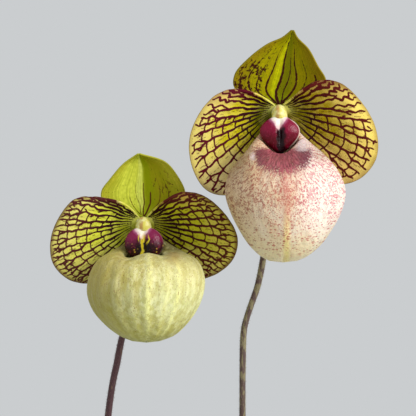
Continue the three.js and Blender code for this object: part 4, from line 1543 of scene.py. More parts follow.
    def build_column(self) -> None:
        """Make the round boss, the neck and the domed, two-lobed shield."""
        form = self.shield
        spine = Spline([(0, self.boss_back, 0), (0, 0, 0), (0, -4.5, 0.2), (form.lean * 0.6, -8.4, -1.3),
                        (form.lean, -10.4, -4.4)])
        steps, sides = self.neck_grid
        share = np.linspace(0, 1, steps + 1)[:, None]
        angle = turns(sides)[None, :]
        radius = (self.boss_radius + 0.9 * smooth((share - 0.45) / 0.25)) * (1 + 0.05 * np.cos(3 * angle))
        radius = radius * (1 - 0.3 * smooth((share - 0.86) / 0.14))
        neck = tube(spine, steps, sides, radius, (0.0, 0.0, 1.0))
        count = len(neck.points)
        neck.marks = {"spot": neck.points.copy(), "neck": np.ones(count), "edge": np.full(count, 9.0)}
        both = neck.joined(self.shield_skin())
        both.points += self.centre
        self.build_piece(both, "column", self.finish.shield.make(), "column")

    def shield_skin(self) -> Skin:
        """Return the shield, from the flower's middle, with marks "spot", "neck" and "edge"."""
        rings, sides = self.shield_grid
        form = self.shield
        widest = form.top - (form.top - form.bottom) * form.widest
        angle = turns(sides)
        upward = np.cos(angle)
        pinch = np.where(upward < 0, 1 - form.pinch * upward ** 2, 1)
        flank = np.where(upward > 0, form.square, 1.0)
        across = np.sign(np.sin(angle)) * np.abs(np.sin(angle)) ** flank
        edge_x = form.width / 2 * across * pinch
        edge_z = np.where(upward > 0, form.top - widest, widest - form.bottom) * upward
        share = np.sin(np.linspace(0.02, 1, rings) * np.pi / 2)[:, None]
        x = form.lean + edge_x * share
        z = widest + edge_z * share
        groove = 1.5 * bell(x - form.lean, 1.3) * smooth(1.25 - share)
        lobes = 0.5 * bell(np.abs(x - form.lean) - 4.2, 2.4) * bell(z - widest - 1.0, 4.0)
        dome = (form.thickness - self.shield_edge) * np.sqrt(np.maximum(1 - share ** 2.4, 0))
        bulge = dome - groove + lobes * (1 - share)
        tilt = (z - widest) * self.shield_tilt
        back_y = self.shield_front + form.thickness
        front = xyz(x, back_y - self.shield_edge - np.maximum(bulge, 0) + tilt, z)
        edge_row = xyz(x[-1], back_y - 0.5 + tilt[-1], z[-1])[None]
        back_share = np.array([0.97, 0.75, 0.4, 0.1])[:, None]
        back_x = form.lean + edge_x * back_share
        back_z = widest + edge_z * back_share
        back = xyz(back_x, back_y + (back_z - widest) * self.shield_tilt, back_z)
        points = np.concatenate([front, edge_row, back])
        rows = len(points)
        reach = np.hypot(edge_x, edge_z)[None]
        edge = np.concatenate([(1 - share) * reach, np.zeros((1, sides)), (1 - back_share) * reach])
        marks = {"spot": points, "neck": np.zeros((rows, sides)), "edge": edge}
        return loft(points, points[0].mean(axis=0), points[-1].mean(axis=0), marks)

    def stem_top(self) -> Array:
        """Return where the stem ends and the ovary starts."""
        return np.array(self.centre) + [self.stem.top_lean, self.ovary_back, 2 - self.ovary_length]

    def stem_curve(self) -> Spline:
        """Return the stem's path in the plant's frame."""
        foot = (self.stem.growth_x, 0.0, self.crown_top + self.clearance)
        return Spline([foot, *((x, 0.0, z) for x, z in self.stem.path), tuple(self.stem_top())])

    def build_stem(self) -> None:
        """Make the stem and its short hairs."""
        steps, sides = self.stem_grid
        curve = self.stem_curve()
        share = np.linspace(0, 1, steps + 1)[:, None]
        angle = turns(sides)[None, :]
        swell = 1 + 0.025 * np.sin(share * 37 + 2 * angle) + 0.02 * np.cos(2 * angle + share * 5)
        skin = tube(curve, steps, sides, self.stem.radius * swell)
        self.build_piece(skin, "stem", self.finish.stem.make(), "stem")
        rng = np.random.default_rng(1 + ord(self.name))
        at = rng.uniform(0.22, 0.995, self.stem_hairs)
        self.build_hairs(curve, at, self.stem.radius, self.stem_hair, rng, "stem")

    def build_hairs(self, curve: Spline, at: Array, radius: Numbers, length: float,
                    rng: np.random.Generator, part: str) -> None:
        """Stand hairs on a tube.

        Args:
            curve: The tube's path.
            at: Shares along it where the hairs stand.
            radius: The tube's radius there.
            length: Mean length of a hair.
            rng: Seeded random numbers.
            part: Name of the tube's part.
        """
        points, first, second = frames_along(curve, at, np.array([0.0, 1.0, 0.0]))
        turn = rng.uniform(0, 2 * np.pi, len(at))[:, None]
        normal = first * np.cos(turn) + second * np.sin(turn)
        reach = np.broadcast_to(radius, at.shape)[:, None]
        skin = hairs(points + normal * reach, normal, length, self.hair_width, rng)
        skin.build(f"{part}_{self.name}_hairs", self.finish.hair.make(), "stem")

    def ovary_curve(self) -> Spline:
        """Return the ovary's path from the stem's top to the back of the boss."""
        tangent = self.stem_curve().tangent(1.0)
        start = self.stem_top() + tangent * self.clearance
        end = np.array(self.centre) + [0, self.boss_back + self.clearance, 0]
        rise = end[2] - start[2]
        shoulder = (end[0] - 0.6, end[1] + 7, start[2] + rise * 0.82)
        behind = (end + [0, 3, -0.4], end + [0, 1, 0])
        return Spline([start, start + tangent * rise * 0.35, shoulder, *behind, end])

    def ovary_radius(self, t: Array) -> Array:
        """Return the ovary's mean radius at shares of its length."""
        return 1.75 + 0.75 * np.sin(np.pi * np.minimum(t * 1.15, 1)) + 0.9 * smooth((t - 0.8) / 0.2)

    def build_ovary(self) -> None:
        """Make the ribbed ovary and its hairs."""
        steps, sides = self.ovary_grid
        curve = self.ovary_curve()
        share = np.linspace(0, 1, steps + 1)[:, None]
        angle = turns(sides)[None, :]
        ribs = 1 + 0.05 * np.cos(3 * angle) + 0.035 * np.cos(6 * angle)
        skin = tube(curve, steps, sides, self.ovary_radius(share) * ribs)
        self.build_piece(skin, "ovary", self.finish.ovary.make(), "ovary")
        rng = np.random.default_rng(40 + ord(self.name))
        at = rng.uniform(0.02, 0.93, self.ovary_hairs)
        self.build_hairs(curve, at, self.ovary_radius(at), self.ovary_hair, rng, "ovary")

    def build_bract(self) -> None:
        """Make the bract that clasps the foot of the ovary."""
        u, v = share_grid(*self.bract_grid)
        curve = self.ovary_curve()
        middle = curve.at(u[:, 0] * self.bract_reach)[:, None]
        tangent = curve.tangent(u[:, 0] * self.bract_reach)
        back = unit(np.array([0.0, 1.0, 0.0]) - tangent * tangent[:, 1:2])
        side = np.cross(tangent, back)
        radius = self.bract_radius * (1 + 1.1 * u ** 2.4)
        spread = 1.9 * (1 - 0.55 * u ** 3) * (1 - 0.62 * smooth((u - 0.55) / 0.45))
        angle = (2 * v - 1) * spread
        points = middle + back[:, None] * (radius * np.cos(angle))[..., None]
        points = points + side[:, None] * (radius * np.sin(angle))[..., None]
        skin = blade(points, np.full_like(u, self.bract_thickness), {})
        self.build_piece(skin, "bract", self.finish.ovary.make(), "ovary")


# Leaves


@dataclass(frozen=True)
class LeafForm:
    """One strap leaf: its rank, its ring round the stem, and how it rises and droops."""

    side: int
    ring: int
    sheath: float
    rise: float
    droop: float
    length: float
    width: float
    turn: float


@dataclass
class LeafFan:
    """The fan of leaves of one growth, each a sheath that opens into a channelled strap."""

    name: str
    growth_x: float
    leaves: tuple
    finish: LeafFinish
    fan_angle: float = math.radians(58)
    base: float = 78.35
    mix_top: float = 94.0
    stem_room: float = 2.0
    thickness: float = 1.0
    sheath_step: float = 1.55
    wrap: float = 1.32
    grid: tuple = (90, 28)

    def build(self) -> None:
        """Make each leaf of the fan."""
        material = self.finish.make()
        for index, leaf in enumerate(self.leaves):
            node = f"leaf_{self.name}_{index + 1}"
            self.leaf_skin(leaf, index).build(node + "_skin", material, "leaf", node)

    def track(self, leaf: LeafForm, radius: float, sheath_end: float, total: float) -> Array:
        """Return a leaf's middle line as rows of distance out, height and rise in degrees.

        Args:
            leaf: The leaf.
            radius: Its distance from the stem's axis at the foot.
            sheath_end: Share of its length where the sheath ends.
            total: Its whole length.

        Returns:
            121 rows of three numbers.
        """
        bend = 0.16
        stations = 120

        def rise_at(s: float) -> float:
            """Return the leaf's angle above the horizon at a share of its length."""
            if s < sheath_end:
                return 90.0
            turned = lerp(90.0, leaf.rise, float(smooth((s - sheath_end) / bend)))
            free = min(max((s - sheath_end - bend) / (1 - sheath_end - bend), 0.0), 1.0)
            return turned + (leaf.droop - leaf.rise) * free ** 1.25

        rows = [(radius, self.base, 90.0)]
        for k in range(1, stations + 1):
            rise = math.radians(rise_at((k - 0.5) / stations))
            step = total / stations
            rows.append((rows[-1][0] + math.cos(rise) * step, rows[-1][1] + math.sin(rise) * step,
                         rise_at(k / stations)))
        return np.array(rows)

    def leaf_skin(self, leaf: LeafForm, index: int) -> Skin:
        """Return one leaf as a closed skin.

        Args:
            leaf: The leaf.
            index: Its place in the fan, which shifts its ripple.

        Returns:
            The skin with marks "along", "flow" and "face".
        """
        rows, columns = self.grid
        radius = self.stem_room + self.thickness / 2 + leaf.ring * self.sheath_step
        azimuth = self.fan_angle + (0.0 if leaf.side > 0 else math.pi) + math.radians(leaf.turn)
        out = np.array([math.cos(azimuth), math.sin(azimuth), 0.0])
        across = np.array([-math.sin(azimuth), math.cos(azimuth), 0.0])
        total = self.mix_top - self.base + leaf.length
        sheath_end = (self.mix_top - self.base + leaf.sheath) / total
        track = self.track(leaf, radius, sheath_end, total)
        u = np.linspace(0, 1, rows)
        v = np.linspace(0, 1, columns)
        stations = np.linspace(0, 1, len(track))
        d, z, rise = (np.interp(u, stations, column) for column in track.T)
        rise = np.radians(rise)
        free = np.clip((u - sheath_end) / (1 - sheath_end), 0, 1)
        opened = smooth((u - sheath_end) / 0.24)
        taper = np.sqrt(np.maximum(1 - free ** 3.2, 0)) * (0.82 + 0.18 * np.sin(np.pi * free))
        half = np.maximum(lerp(radius * self.wrap, leaf.width / 2 * taper, opened), 0.5)
        alpha = lerp(self.wrap, 0.42 - 0.25 * free, smooth((u - sheath_end) / 0.16))
        room = lerp(radius, d * 0.55, smooth((u - sheath_end) / 0.08))
        for k in range(rows):
            while alpha[k] > 0.05 and half[k] / alpha[k] * (1 - math.cos(alpha[k])) > room[k]:
                alpha[k] -= 0.01
        bow = (half / alpha)[:, None]
        beta = (2 * v - 1)[None, :] * alpha[:, None]
        inward = out * -np.sin(rise)[:, None] + np.array([0.0, 0.0, 1.0]) * np.cos(rise)[:, None]
        lateral = bow * np.sin(beta)
        lift = bow * (1 - np.cos(beta)) - 0.5 * opened[:, None] * bell(lateral, 1.8)
        lift = lift + 0.35 * (free * smooth((1 - free) / 0.1))[:, None] * np.sin(
            free[:, None] * 21 + 2.0 * np.sign(lateral) + index) * (np.abs(2 * v - 1) ** 2)[None, :]
        spine = np.array([self.growth_x, 0.0, 0.0]) + out * d[:, None] + np.array([0, 0, 1.0]) * z[:, None]
        middle = spine[:, None] + across * lateral[..., None] + inward[:, None] * lift[..., None]
        along = np.broadcast_to(free[:, None], (rows, columns))
        flow = xyz(lateral, (u * total)[:, None], 7.0 * index)
        thinned = 0.72 + 0.28 * (1 - np.abs(2 * v - 1)) ** 0.7
        thickness = np.broadcast_to(self.thickness * thinned, (rows, columns))
        skin = blade(middle, thickness, {"along": along, "flow": flow})
        normals = grid_normals(middle)
        upper = np.einsum("ijk,ijk->", normals, np.broadcast_to(inward[:, None], middle.shape))
        if upper * normals[..., 1].mean() > 0:
            skin.marks["face"] = 1 - skin.marks["face"]
        return skin


# Pot and potting mix


@dataclass
class Pot:
    """A plain turned clay pot with a stepped rim and four drain holes."""

    finish: ClayFinish
    height: float = 104.0
    mouth: float = 66.0
    foot: float = 46.0
    wall: float = 4.5
    floor: float = 7.0
    rim_height: float = 22.0
    rim_step: float = 3.5
    drains: int = 4
    drain_radius: float = 4.5
    drain_circle: float = 26.0
    hub: float = 1.0
    sides: int = 144

    def outer_at(self, z: float) -> float:
        """Return the body's outer radius at a height."""
        return lerp(self.foot, self.mouth - self.rim_step, z / self.height)

    def profile(self) -> Array:
        """Return the profile from the middle of the foot round to the middle of the floor."""
        rim_foot = self.height - self.rim_height
        corners = [
            ((self.foot, 0.0), 1.5),
            ((self.outer_at(rim_foot), rim_foot), 1.0),
            ((self.outer_at(rim_foot) + self.rim_step, rim_foot + 1.2), 1.2),
            ((self.mouth, self.height), 1.6),
            ((self.outer_at(self.height) - self.wall, self.height), 1.6),
            ((self.outer_at(self.floor) - self.wall, self.floor), 3.0),
        ]
        points = [(self.hub, 0.0)]
        places = [np.array(place) for place in (points[0], *(c for c, _ in corners), (self.hub, self.floor))]
        for (corner, round_by), before, after in zip(corners, places, places[2:]):
            corner = np.array(corner)
            start = corner + unit(before - corner) * round_by
            end = corner + unit(after - corner) * round_by
            last = np.array(points[-1])
            steps = max(int(np.linalg.norm(start - last) / 3.0), 1)
            points += [tuple(lerp(last, start, k / steps)) for k in range(1, steps)]
            for s in np.linspace(0, 1, 6):
                points.append(tuple((1 - s) ** 2 * start + 2 * s * (1 - s) * corner + s * s * end))
        points += [tuple(lerp(np.array(points[-1]), places[-1], k / 8)) for k in range(1, 9)]
        return np.array(points)

    def build(self) -> None:
        """Make the pot and cut its drain holes."""
        profile = self.profile()
        angle = turns(self.sides)
        radius = profile[:, 0][:, None]
        z = np.broadcast_to(profile[:, 1][:, None], (len(profile), self.sides))
        wobble = 1 + 0.0016 * np.sin(2 * angle + 0.7) + 0.0009 * np.sin(3 * angle + z * 0.05)
        wall = (z > 3) & (z < self.height - 3) & (radius > self.foot - 2)
        turned = radius * wobble + np.where(wall, 0.1 * np.sin(z * 1.9) + 0.07 * np.sin(z * 4.3 + angle), 0.0)
        rings = xyz(turned * np.cos(angle), turned * np.sin(angle), z)
        skin = loft(rings, np.array([0, 0, 0.0]), np.array([0, 0, self.floor]), {})
        pot = skin.build("pot_skin", self.finish.make(), "clay", "pot")
        for k in range(self.drains):
            turn = 2 * math.pi * (k + 0.5) / self.drains
            self.drill(pot, self.drain_circle * math.cos(turn), self.drain_circle * math.sin(turn))

    def drill(self, pot: bpy.types.Object, x: float, y: float) -> None:
        """Cut one drain hole through the floor.

        Args:
            pot: The pot.
            x: The hole's place.
            y: The hole's place.
        """
        bpy.ops.mesh.primitive_cylinder_add(vertices=40, radius=self.drain_radius * MM,
                                            depth=4 * self.floor * MM, location=(x * MM, y * MM, 0.0))
        cutter = bpy.context.object
        cut = pot.modifiers.new("drain", "BOOLEAN")
        cut.operation = "DIFFERENCE"
        cut.solver = "EXACT"
        cut.object = cutter
        bpy.context.view_layer.objects.active = pot
        bpy.ops.object.modifier_apply(modifier=cut.name)
        bpy.data.objects.remove(cutter)


@dataclass
class PottingMix:
    """Bark mix: a low mound with loose chips on top, open round each growth."""

    finish: BarkFinish
    pot: Pot
    growths: tuple
    top: float = 94.0
    mound: float = 3.0
    hole: float = 7.2
    dip: float = 14.0
    gap: float = 0.7
    chips: int = 330
    grid: tuple = (60, 120)
    seed: int = 11

    def build(self) -> None:
        """Make the mound and its chips as one piece."""
        skin = self.mound_skin()
        rng = np.random.default_rng(self.seed)
        for _ in range(self.chips):
            skin = skin.joined(self.chip(rng))
        skin.build("potting_mix_skin", self.finish.make(), "bark", "potting_mix")

    def height_at(self, x: Array, y: Array) -> Array:
        """Return the mound's height at a place."""
        radius = np.hypot(x, y) / 56.0
        lumps = 0.8 * np.sin(x * 0.31 + 1.3) * np.sin(y * 0.37) + 0.5 * np.sin(x * 0.8 + y * 0.6)
        return self.top + self.mound * (1 - radius ** 2) + lumps - 1.2

    def mound_skin(self) -> Skin:
        """Return the mound down to the pot's floor, dipped round each growth, with the mark "tone"."""
        rings, sides = self.grid
        bottom = self.pot.floor + 0.4
        angle = turns(sides)[None, :]
        rim = self.pot.outer_at(self.top) - self.pot.wall - self.gap
        radius = np.linspace(rim, 0.6, rings)[:, None]
        x = radius * np.cos(angle)
        y = radius * np.sin(angle)
        z = self.height_at(x, y)
        for growth_x in self.growths:
            near = np.hypot(x - growth_x, y)
            z = z - self.dip * (1 - smooth((near - self.hole + 0.5) / 1.6))
        foot = self.pot.outer_at(bottom) - self.pot.wall - self.gap
        shares = np.linspace(0, 0.98, 12)[:, None]
        side = lerp(foot, rim, shares)
        low = xyz(side * np.cos(angle), side * np.sin(angle), lerp(bottom, self.top - 2, shares))
        points = np.concatenate([low, xyz(x, y, z)])
        tone = 0.15 + 0.1 * np.sin(points[..., 0] * 0.9) * np.sin(points[..., 1] * 0.8)
        return loft(points, np.array([0, 0, bottom]), np.array([0, 0, float(z[-1].mean())]), {"tone": tone})

    def chip(self, rng: np.random.Generator) -> Skin:
        """Return one chip of bark that lies tilted on the mound.

        Args:
            rng: Seeded random numbers.

        Returns:
            The closed skin with the mark "tone".
        """
        size = np.array([rng.uniform(3.0, 6.8), rng.uniform(2.2, 4.6), rng.uniform(1.1, 2.3)])
        for _ in range(40):
            reach = self.pot.outer_at(self.top) - self.pot.wall - 1.5 - size[0]
            far = reach * math.sqrt(rng.uniform(0, 1))
            turn = rng.uniform(0, 2 * math.pi)
            x = far * math.cos(turn)
            y = far * math.sin(turn)
            if all(math.hypot(x - g, y) > self.hole + size[0] for g in self.growths):
                break
            size = size * 0.94
        sides = 9
        angle = turns(sides)
        outline = 1 + 0.2 * rng.uniform(-1, 1, sides)
        box = np.maximum(np.abs(np.cos(angle)), np.abs(np.sin(angle)))
        rings = []
        for height, shrink in ((-1.0, 0.72), (-0.7, 0.98), (0.1, 1.0), (0.75, 0.94), (1.0, 0.66)):
            jitter = outline * shrink * (1 + 0.06 * rng.uniform(-1, 1, sides)) / box ** 0.6
            ridge = height + 0.16 * rng.uniform(-1, 1, sides)
            rings.append(xyz(jitter * np.cos(angle), jitter * np.sin(angle), ridge) * size)
        rings = np.array(rings)
        tone = np.full(rings.shape[:2], rng.uniform(0.1, 1.0))
        skin = loft(rings, rings[0].mean(axis=0), rings[-1].mean(axis=0), {"tone": tone})
        turn = rng.uniform(0, 2 * math.pi)
        lean = np.radians(rng.normal(0, 16, 2))
        turned = np.array(Euler((*lean, turn), "YXZ").to_matrix())
        height = float(self.height_at(np.array(x), np.array(y))) + rng.uniform(0.0, 1.9)
        skin.points = skin.points @ turned.T + np.array([x, y, height])
        return skin


# Studio


@dataclass
class Studio:
    """Plain pale floor, soft studio light and the camera."""

    aim: tuple = (16.5, -12.0, 300.0)
    frame_width: float = 208.0
    distance: float = 3200.0
    sensor: float = 36.0
    floor_radius: float = 2.9

    def build(self) -> None:
        """Make the floor, the world, the lights and the camera."""
        self.build_floor()
        self.build_world()
        self.area("key_light", (1.25, -0.9, 0.75), 0.9, 25.0, (1.0, 0.985, 0.95))
        self.area("fill_light", (-1.2, -0.9, 0.5), 1.4, 1.0, (0.92, 0.96, 1.0))
        self.build_camera()

    def build_floor(self) -> None:
        """Make the floor disc."""
        bpy.ops.mesh.primitive_circle_add(vertices=128, radius=self.floor_radius, fill_type="NGON")
        floor = bpy.context.object
        floor.name = "floor"
        p = Paint("floor_finish")
        cloud = p.noise(p.place(), 3.0, 4.0)
        colour = p.mix(cloud, (214, 213, 210), (222, 221, 219))
        normal = p.bump(p.noise(p.place(), 400.0, 2.0), 0.1, 0.0002)
        floor.data.materials.append(p.finish(colour, 0.8, normal))

    def build_world(self) -> None:
        """Light everything softly from all sides."""
        world = bpy.data.worlds.new("studio")
        bpy.context.scene.world = world
        world.use_nodes = True
        back = world.node_tree.nodes["Background"]
        back.inputs["Color"].default_value = (*linear((202, 205, 207)), 1.0)
        back.inputs["Strength"].default_value = 1.0

    def area(self, name: str, place: tuple, size: float, power: float, colour: tuple) -> None:
        """Add a square soft light that faces the flowers.

        Args:
            name: The light's name.
            place: Where it stands, in metres from what it faces.
            size: Its side in metres.
            power: Its power in watts.
            colour: Its linear colour.
        """
        lamp = bpy.data.lights.new(name, "AREA")
        lamp.size = size
        lamp.energy = power
        lamp.color = colour
        light = bpy.data.objects.new(name, lamp)
        target = Vector(self.aim) * MM
        light.location = target + Vector(place)
        light.rotation_euler = (target - light.location).to_track_quat("-Z", "Y").to_euler()
        light.visible_camera = False
        bpy.context.collection.objects.link(light)

    def build_camera(self) -> None:
        """Stand the camera level with the flowers, facing them."""
        data = bpy.data.cameras.new("camera")
        data.sensor_width = self.sensor
        data.lens = self.sensor * self.distance / self.frame_width
        data.clip_start = 0.05
        data.clip_end = 50.0
        camera = bpy.data.objects.new("camera", data)
        x, y, z = self.aim
        camera.location = (x * MM, (y - self.distance) * MM, z * MM)
        camera.rotation_euler = (math.pi / 2, 0.0, 0.0)
        bpy.context.collection.objects.link(camera)
        bpy.context.scene.camera = camera
        bpy.context.scene.view_settings.view_transform = "Standard"


# The plant


LEAVES = (
    LeafForm(side=1, ring=0, sheath=20, rise=70, droop=34, length=100, width=27, turn=3),
    LeafForm(side=-1, ring=0, sheath=17, rise=62, droop=14, length=122, width=32, turn=-4),
    LeafForm(side=1, ring=1, sheath=11, rise=50, droop=-14, length=148, width=38, turn=-5),
    LeafForm(side=-1, ring=1, sheath=8, rise=40, droop=-22, length=152, width=39, turn=5),
    LeafForm(side=1, ring=2, sheath=5, rise=30, droop=-36, length=138, width=38, turn=4),
)


def synsepal(drop: float) -> SepalForm:
    """Return the joined lower sepals, which hang behind the pouch to a given depth."""
    half = 19.0
    lean = 1.5
    return SepalForm(
        left=((-2.4, -3.4), (-12, -9), (-half, -20), (-half + 2, -33), (-8, -drop + 4), (lean - 0.8, -drop)),
        right=((2.4, -3.4), (12, -9), (half + lean, -20), (half + lean - 2, -33), (9.5, -drop + 4),
               (lean + 0.8, -drop)),
        fold=-2.4, hood=-1.2, base_y=4.3, backward=2.8, thicker=0.4,
        veins=tuple((place, 0.22, 0.03, 0.97) for place in (0.14, 0.26, 0.38, 0.5, 0.62, 0.74, 0.86)), seed=5,
        grid=(60, 70),
    )


def green_flower() -> Flower:
    """Return the lower left bloom, whose pouch is green."""
    finish = FlowerFinish(
        petals=(
            PetalFinish("green_left_petal", (156, 160, 28), (216, 220, 66), (226, 216, 112),
                        (220, 206, 118), (196, 190, 96), (40, 14, 18), (84, 34, 34), 0.75),
            # The right petal's finish is a darker copy of the left one: partly its own browner tone, partly
            # painted shade of a petal that faces away from the light.
            PetalFinish("green_right_petal_partly_shaded", (130, 130, 12), (186, 184, 26), (206, 194, 74),
                        (178, 142, 62), (212, 200, 108), (40, 14, 14), (84, 32, 24), 0.75),
        ),
        dorsal=SepalFinish("green_dorsal", (216, 222, 78), (150, 142, 20), (128, 142, 0),
                           (230, 236, 112), (186, 178, 50), (158, 172, 24), (84, 46, 18), 0.35),
        synsepal=SepalFinish("green_synsepal", (180, 184, 74), (168, 172, 66), (140, 148, 40),
                             (180, 184, 80), (170, 170, 70), (140, 150, 40), (96, 64, 40), 0.2),
        pouch=GreenPouchFinish(),
        shield=ShieldFinish("green_flower_column", (132, 30, 74), (50, 12, 14), (26, 6, 6), 0.85, 4.0, -7.6,
                            5.5, -9.0),
        stem=StemFinish("dark_stem", (110, 84, 66), (74, 40, 46), 0.9),
        hair=HairFinish("dark_stem_hair", (150, 118, 112)),
        ovary=StemFinish("dark_ovary", (120, 120, 70), (84, 50, 50), 0.5),
    )
    left_plan = NetPlan(seed=21, veins=14, lane=4.9, half=0.46)
    right_plan = NetPlan(seed=34, veins=14, lane=4.8, half=0.47)
    return Flower(
        name="a", tone=Tone.GREEN, centre=(-16.0, -12.0, 292.0),
        dorsal=SepalForm(
            left=((-2.6, 3.4), (-13, 7), (-20.5, 12), (-20.7, 16.5), (-16.5, 22.3), (-10, 29.8), (-2.6, 35)),
            right=((2.6, 3.4), (12, 7), (20, 11), (21, 16), (16.5, 25), (11, 31), (-1.4, 35)),
            fold=-6.5, hood=-8.5, base_y=3.7, backward=5.5, thicker=0.8,
            veins=((0.36, 0.16, 0.05, 0.5), (0.43, 0.16, 0.05, 0.6), (0.5, 0.3, 0.03, 0.55),
                   (0.58, 0.42, 0.02, 0.45), (0.68, 0.2, 0.1, 0.6), (0.77, 0.26, 0.05, 0.7)),
            flecks=30, fleck_at=0.8, seed=3,
        ),
        synsepal=synsepal(44.0),
        petals=(
            PetalForm(-1, ((-14, 11.9), (-24.5, 13.6), (-34, 12.4), (-41.5, 4), (-46, -7.5), (-45, -19.5),
                           (-37.5, -27.5), (-27.5, -29.8), (-18, -28)), 1.6, left_plan),
            PetalForm(1, ((11.5, 12), (19, 15.8), (29.5, 14.5), (40.2, 6), (47.2, -6.5), (45.5, -16.8),
                          (37.5, -24.5), (27, -28), (18, -27)), 0.6, right_plan),
        ),
        pouch=PouchForm(
            bottom=(2, -26, -58.8),
            rings=(
                (-58.0, 7, 1.8, -33, -19, 0, 0),
                (-55.2, 13.6, 2.1, -39, -12, 0, 0),
                (-50.2, 19.6, 1.7, -43.8, -8, 0, 0),
                (-43, 25.2, 1.3, -47, -5, 0, 0),
                (-35, 28.2, 1.5, -48.5, -3.7, 0, 0),
                (-27.5, 28.5, 2.1, -47, -3.4, 0, 0),
                (-21, 26.6, 2.4, -42.5, -3.4, 0.5, 1),
                (-17, 23.6, 2.4, -36.5, -3.4, 1, 3),
                (-14.8, 19.6, 2.2, -28.5, -3.4, 1, 6),
                (-13.9, 15.2, 1.8, -22.6, -3.6, 1, 9),
                (-13.9, 12.0, 1.0, -19.4, -4.2, 1, 11.05),
                (-15.2, 9.9, 0.5, -17.6, -5.6, 1, 10.2),
                (-17.6, 9.5, 0.5, -17.0, -6.2, 1, 9),
            ),
            ribs=22, rib_height=1.0, lip=0.6,
            ridges=((-1.5, 0.5), (-0.95, 0.35), (-0.54, 0.55), (-0.22, 0.5), (0.05, 1.0), (0.37, 0.65),
                    (0.59, 0.85), (0.95, 0.4), (1.4, 0.5)),
        ),
        shield=ShieldForm(19.5, -1.5, -19.0, 0.7, 4.6, 0.5, 0.85, 0.2),
        stem=StemForm(1.65, ((-38, 124), (-36.6, 160), (-33.6, 196), (-31, 214), (-29.4, 221), (-26.6, 235)),
                      -4.0, -38.0),
        finish=finish,
    )


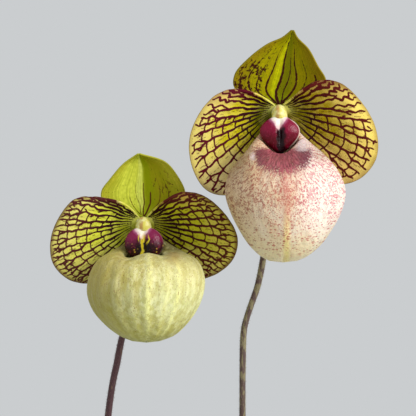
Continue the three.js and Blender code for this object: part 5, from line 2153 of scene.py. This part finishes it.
def pink_flower() -> Flower:
    """Return the upper right bloom, whose pouch is cream and rose."""
    finish = FlowerFinish(
        petals=(
            PetalFinish("pink_flower_left_petal", (100, 100, 2), (202, 190, 18), (240, 220, 120),
                        (204, 164, 96), (224, 206, 146), (40, 10, 18), (92, 18, 34), 0.35),
            # The right petal's finish is a darker copy of the left one: partly its own browner tone, partly
            # painted shade of a petal that faces away from the light.
            PetalFinish("pink_flower_right_petal", (102, 94, 4), (160, 140, 10), (238, 212, 106),
                        (134, 98, 48), (206, 178, 102), (40, 10, 12), (86, 22, 20), 0.35),
        ),
        dorsal=SepalFinish("pink_flower_dorsal", (160, 150, 0), (138, 126, 0), (98, 102, 0),
                           (200, 200, 4), (146, 118, 14), (142, 156, 0), (56, 18, 12), 0.9),
        synsepal=SepalFinish("pink_flower_synsepal", (184, 178, 80), (172, 166, 70), (140, 138, 40),
                             (184, 180, 84), (170, 160, 70), (140, 144, 40), (96, 44, 44), 0.3),
        pouch=PinkPouchFinish(),
        shield=ShieldFinish("pink_flower_column", (128, 14, 50), (92, 4, 22), (30, 2, 8), 0.0, 4.6, -9.2, 3.0,
                            -11.0),
        stem=StemFinish("olive_stem", (128, 118, 84), (84, 62, 56), 0.55),
        hair=HairFinish("olive_stem_hair", (168, 152, 128)),
        ovary=StemFinish("olive_ovary", (126, 126, 76), (92, 56, 56), 0.45),
    )
    left_plan = NetPlan(seed=8, veins=12, lane=5.8, half=0.54, ties_from=0.36, tie_step=6.6, end_low=0.93,
                        end_high=0.985, curl=0.6, crowd=0.1, marginal=6)
    right_plan = replace(left_plan, seed=15, half=0.56, ties_from=0.42, tie_step=6.8, curl=0.7)
    return Flower(
        name="b", tone=Tone.PINK, centre=(52.0, -12.0, 348.0),
        dorsal=SepalForm(
            left=((-2.6, 3.4), (-15, 7), (-22.4, 12.5), (-22, 19), (-15.2, 26.8), (-6, 33.8),
                  (1.8, 37.4), (6.3, 41)),
            right=((2.6, 3.4), (13, 7), (22.5, 11.5), (23.4, 16.2), (19.5, 23), (14.8, 31.6), (9.4, 37.2),
                   (7.4, 41)),
            fold=-7.0, hood=-4.0, base_y=3.7, backward=5.5, thicker=0.8,
            veins=((0.1, 0.3, 0.1, 0.6), (0.2, 0.4, 0.06, 0.8), (0.29, 0.34, 0.05, 0.7),
                   (0.39, 0.5, 0.03, 0.92), (0.5, 0.7, 0.02, 0.98), (0.585, 0.36, 0.04, 0.75),
                   (0.66, 0.55, 0.03, 0.9), (0.76, 0.3, 0.1, 0.7), (0.86, 0.6, 0.02, 0.5)),
            flecks=150, fleck_at=0.15, seed=9,
        ),
        synsepal=synsepal(50.0),
        petals=(
            PetalForm(-1, ((-14.5, 10.2), (-22.5, 11.5), (-31.5, 8.4), (-40, -1), (-44.8, -14), (-43.3, -28),
                           (-36.5, -38.9), (-27, -41.7), (-18, -38)), 0.6, left_plan),
            PetalForm(1, ((13, 12.4), (20, 15.6), (30, 14.6), (41, 5), (48.4, -9), (48.6, -23), (41.5, -32.6),
                          (32, -36.2), (20, -35)), -0.4, right_plan),
        ),
        pouch=PouchForm(
            bottom=(1.5, -27, -75),
            rings=(
                (-74.2, 7, 1.8, -34, -19, 0, 0),
                (-71.6, 12, 2.2, -40, -13, 0, 0),
                (-66.5, 17.6, 2.6, -45.5, -8.5, 0, 0),
                (-59.5, 22.5, 2.9, -49.8, -5.5, 0, 0),
                (-50, 27.4, 3.1, -52.5, -4, 0, 0),
                (-40, 29.8, 2.8, -52, -3.5, 0, 0),
                (-31, 27.5, 2.4, -47.5, -3.4, 1, 0),
                (-24, 22.6, 2.2, -40.5, -3.4, 2.5, 2),
                (-18.5, 17.4, 1.8, -30.5, -3.4, 4.5, 5),
                (-15, 13.6, 0.8, -22.8, -3.6, 6.6, 9),
                (-13.6, 11.3, 0.5, -19.6, -4.2, 7.4, 10.7),
                (-14.8, 9.9, 0.4, -17.8, -5.6, 7.6, 10),
                (-17.4, 9.5, 0.4, -17.2, -6.2, 7.2, 9),
            ),
            ribs=0, rib_height=0.3, lip=2.0, ridges=((0.0, 1.0),),
        ),
        shield=ShieldForm(20.0, -1.5, -21.2, 0.3, 4.6, 0.42, 1.6, 0.58),
        stem=StemForm(1.55, ((34, 124), (33.8, 165), (33.8, 196), (33.9, 220.5), (34.5, 238.5), (36, 245),
                             (38.5, 252.5), (41, 259.5), (42.8, 267), (44.1, 274.2)), -2.0, 34.0),
        finish=finish,
    )


def main() -> None:
    """Build the plant, dress the crowns and set the studio."""
    logging.basicConfig(level=logging.INFO, format="%(message)s")
    flowers = (green_flower(), pink_flower())
    for flower in flowers:
        flower.build()
        LeafFan(flower.name, flower.stem.growth_x, LEAVES, LeafFinish(f"leaf_{flower.name}")).build()
    pot = Pot(ClayFinish())
    pot.build()
    PottingMix(BarkFinish(), pot, tuple(flower.stem.growth_x for flower in flowers)).build()
    root = RootFinish().make()
    for flower in flowers:
        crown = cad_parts[f"crown_{flower.name}"]
        crown.data.materials.clear()
        crown.data.materials.append(root)
        LOG.info("%s keeps its form and takes the root finish", crown.name)
    Studio().build()


if __name__ == "__main__":
    main()
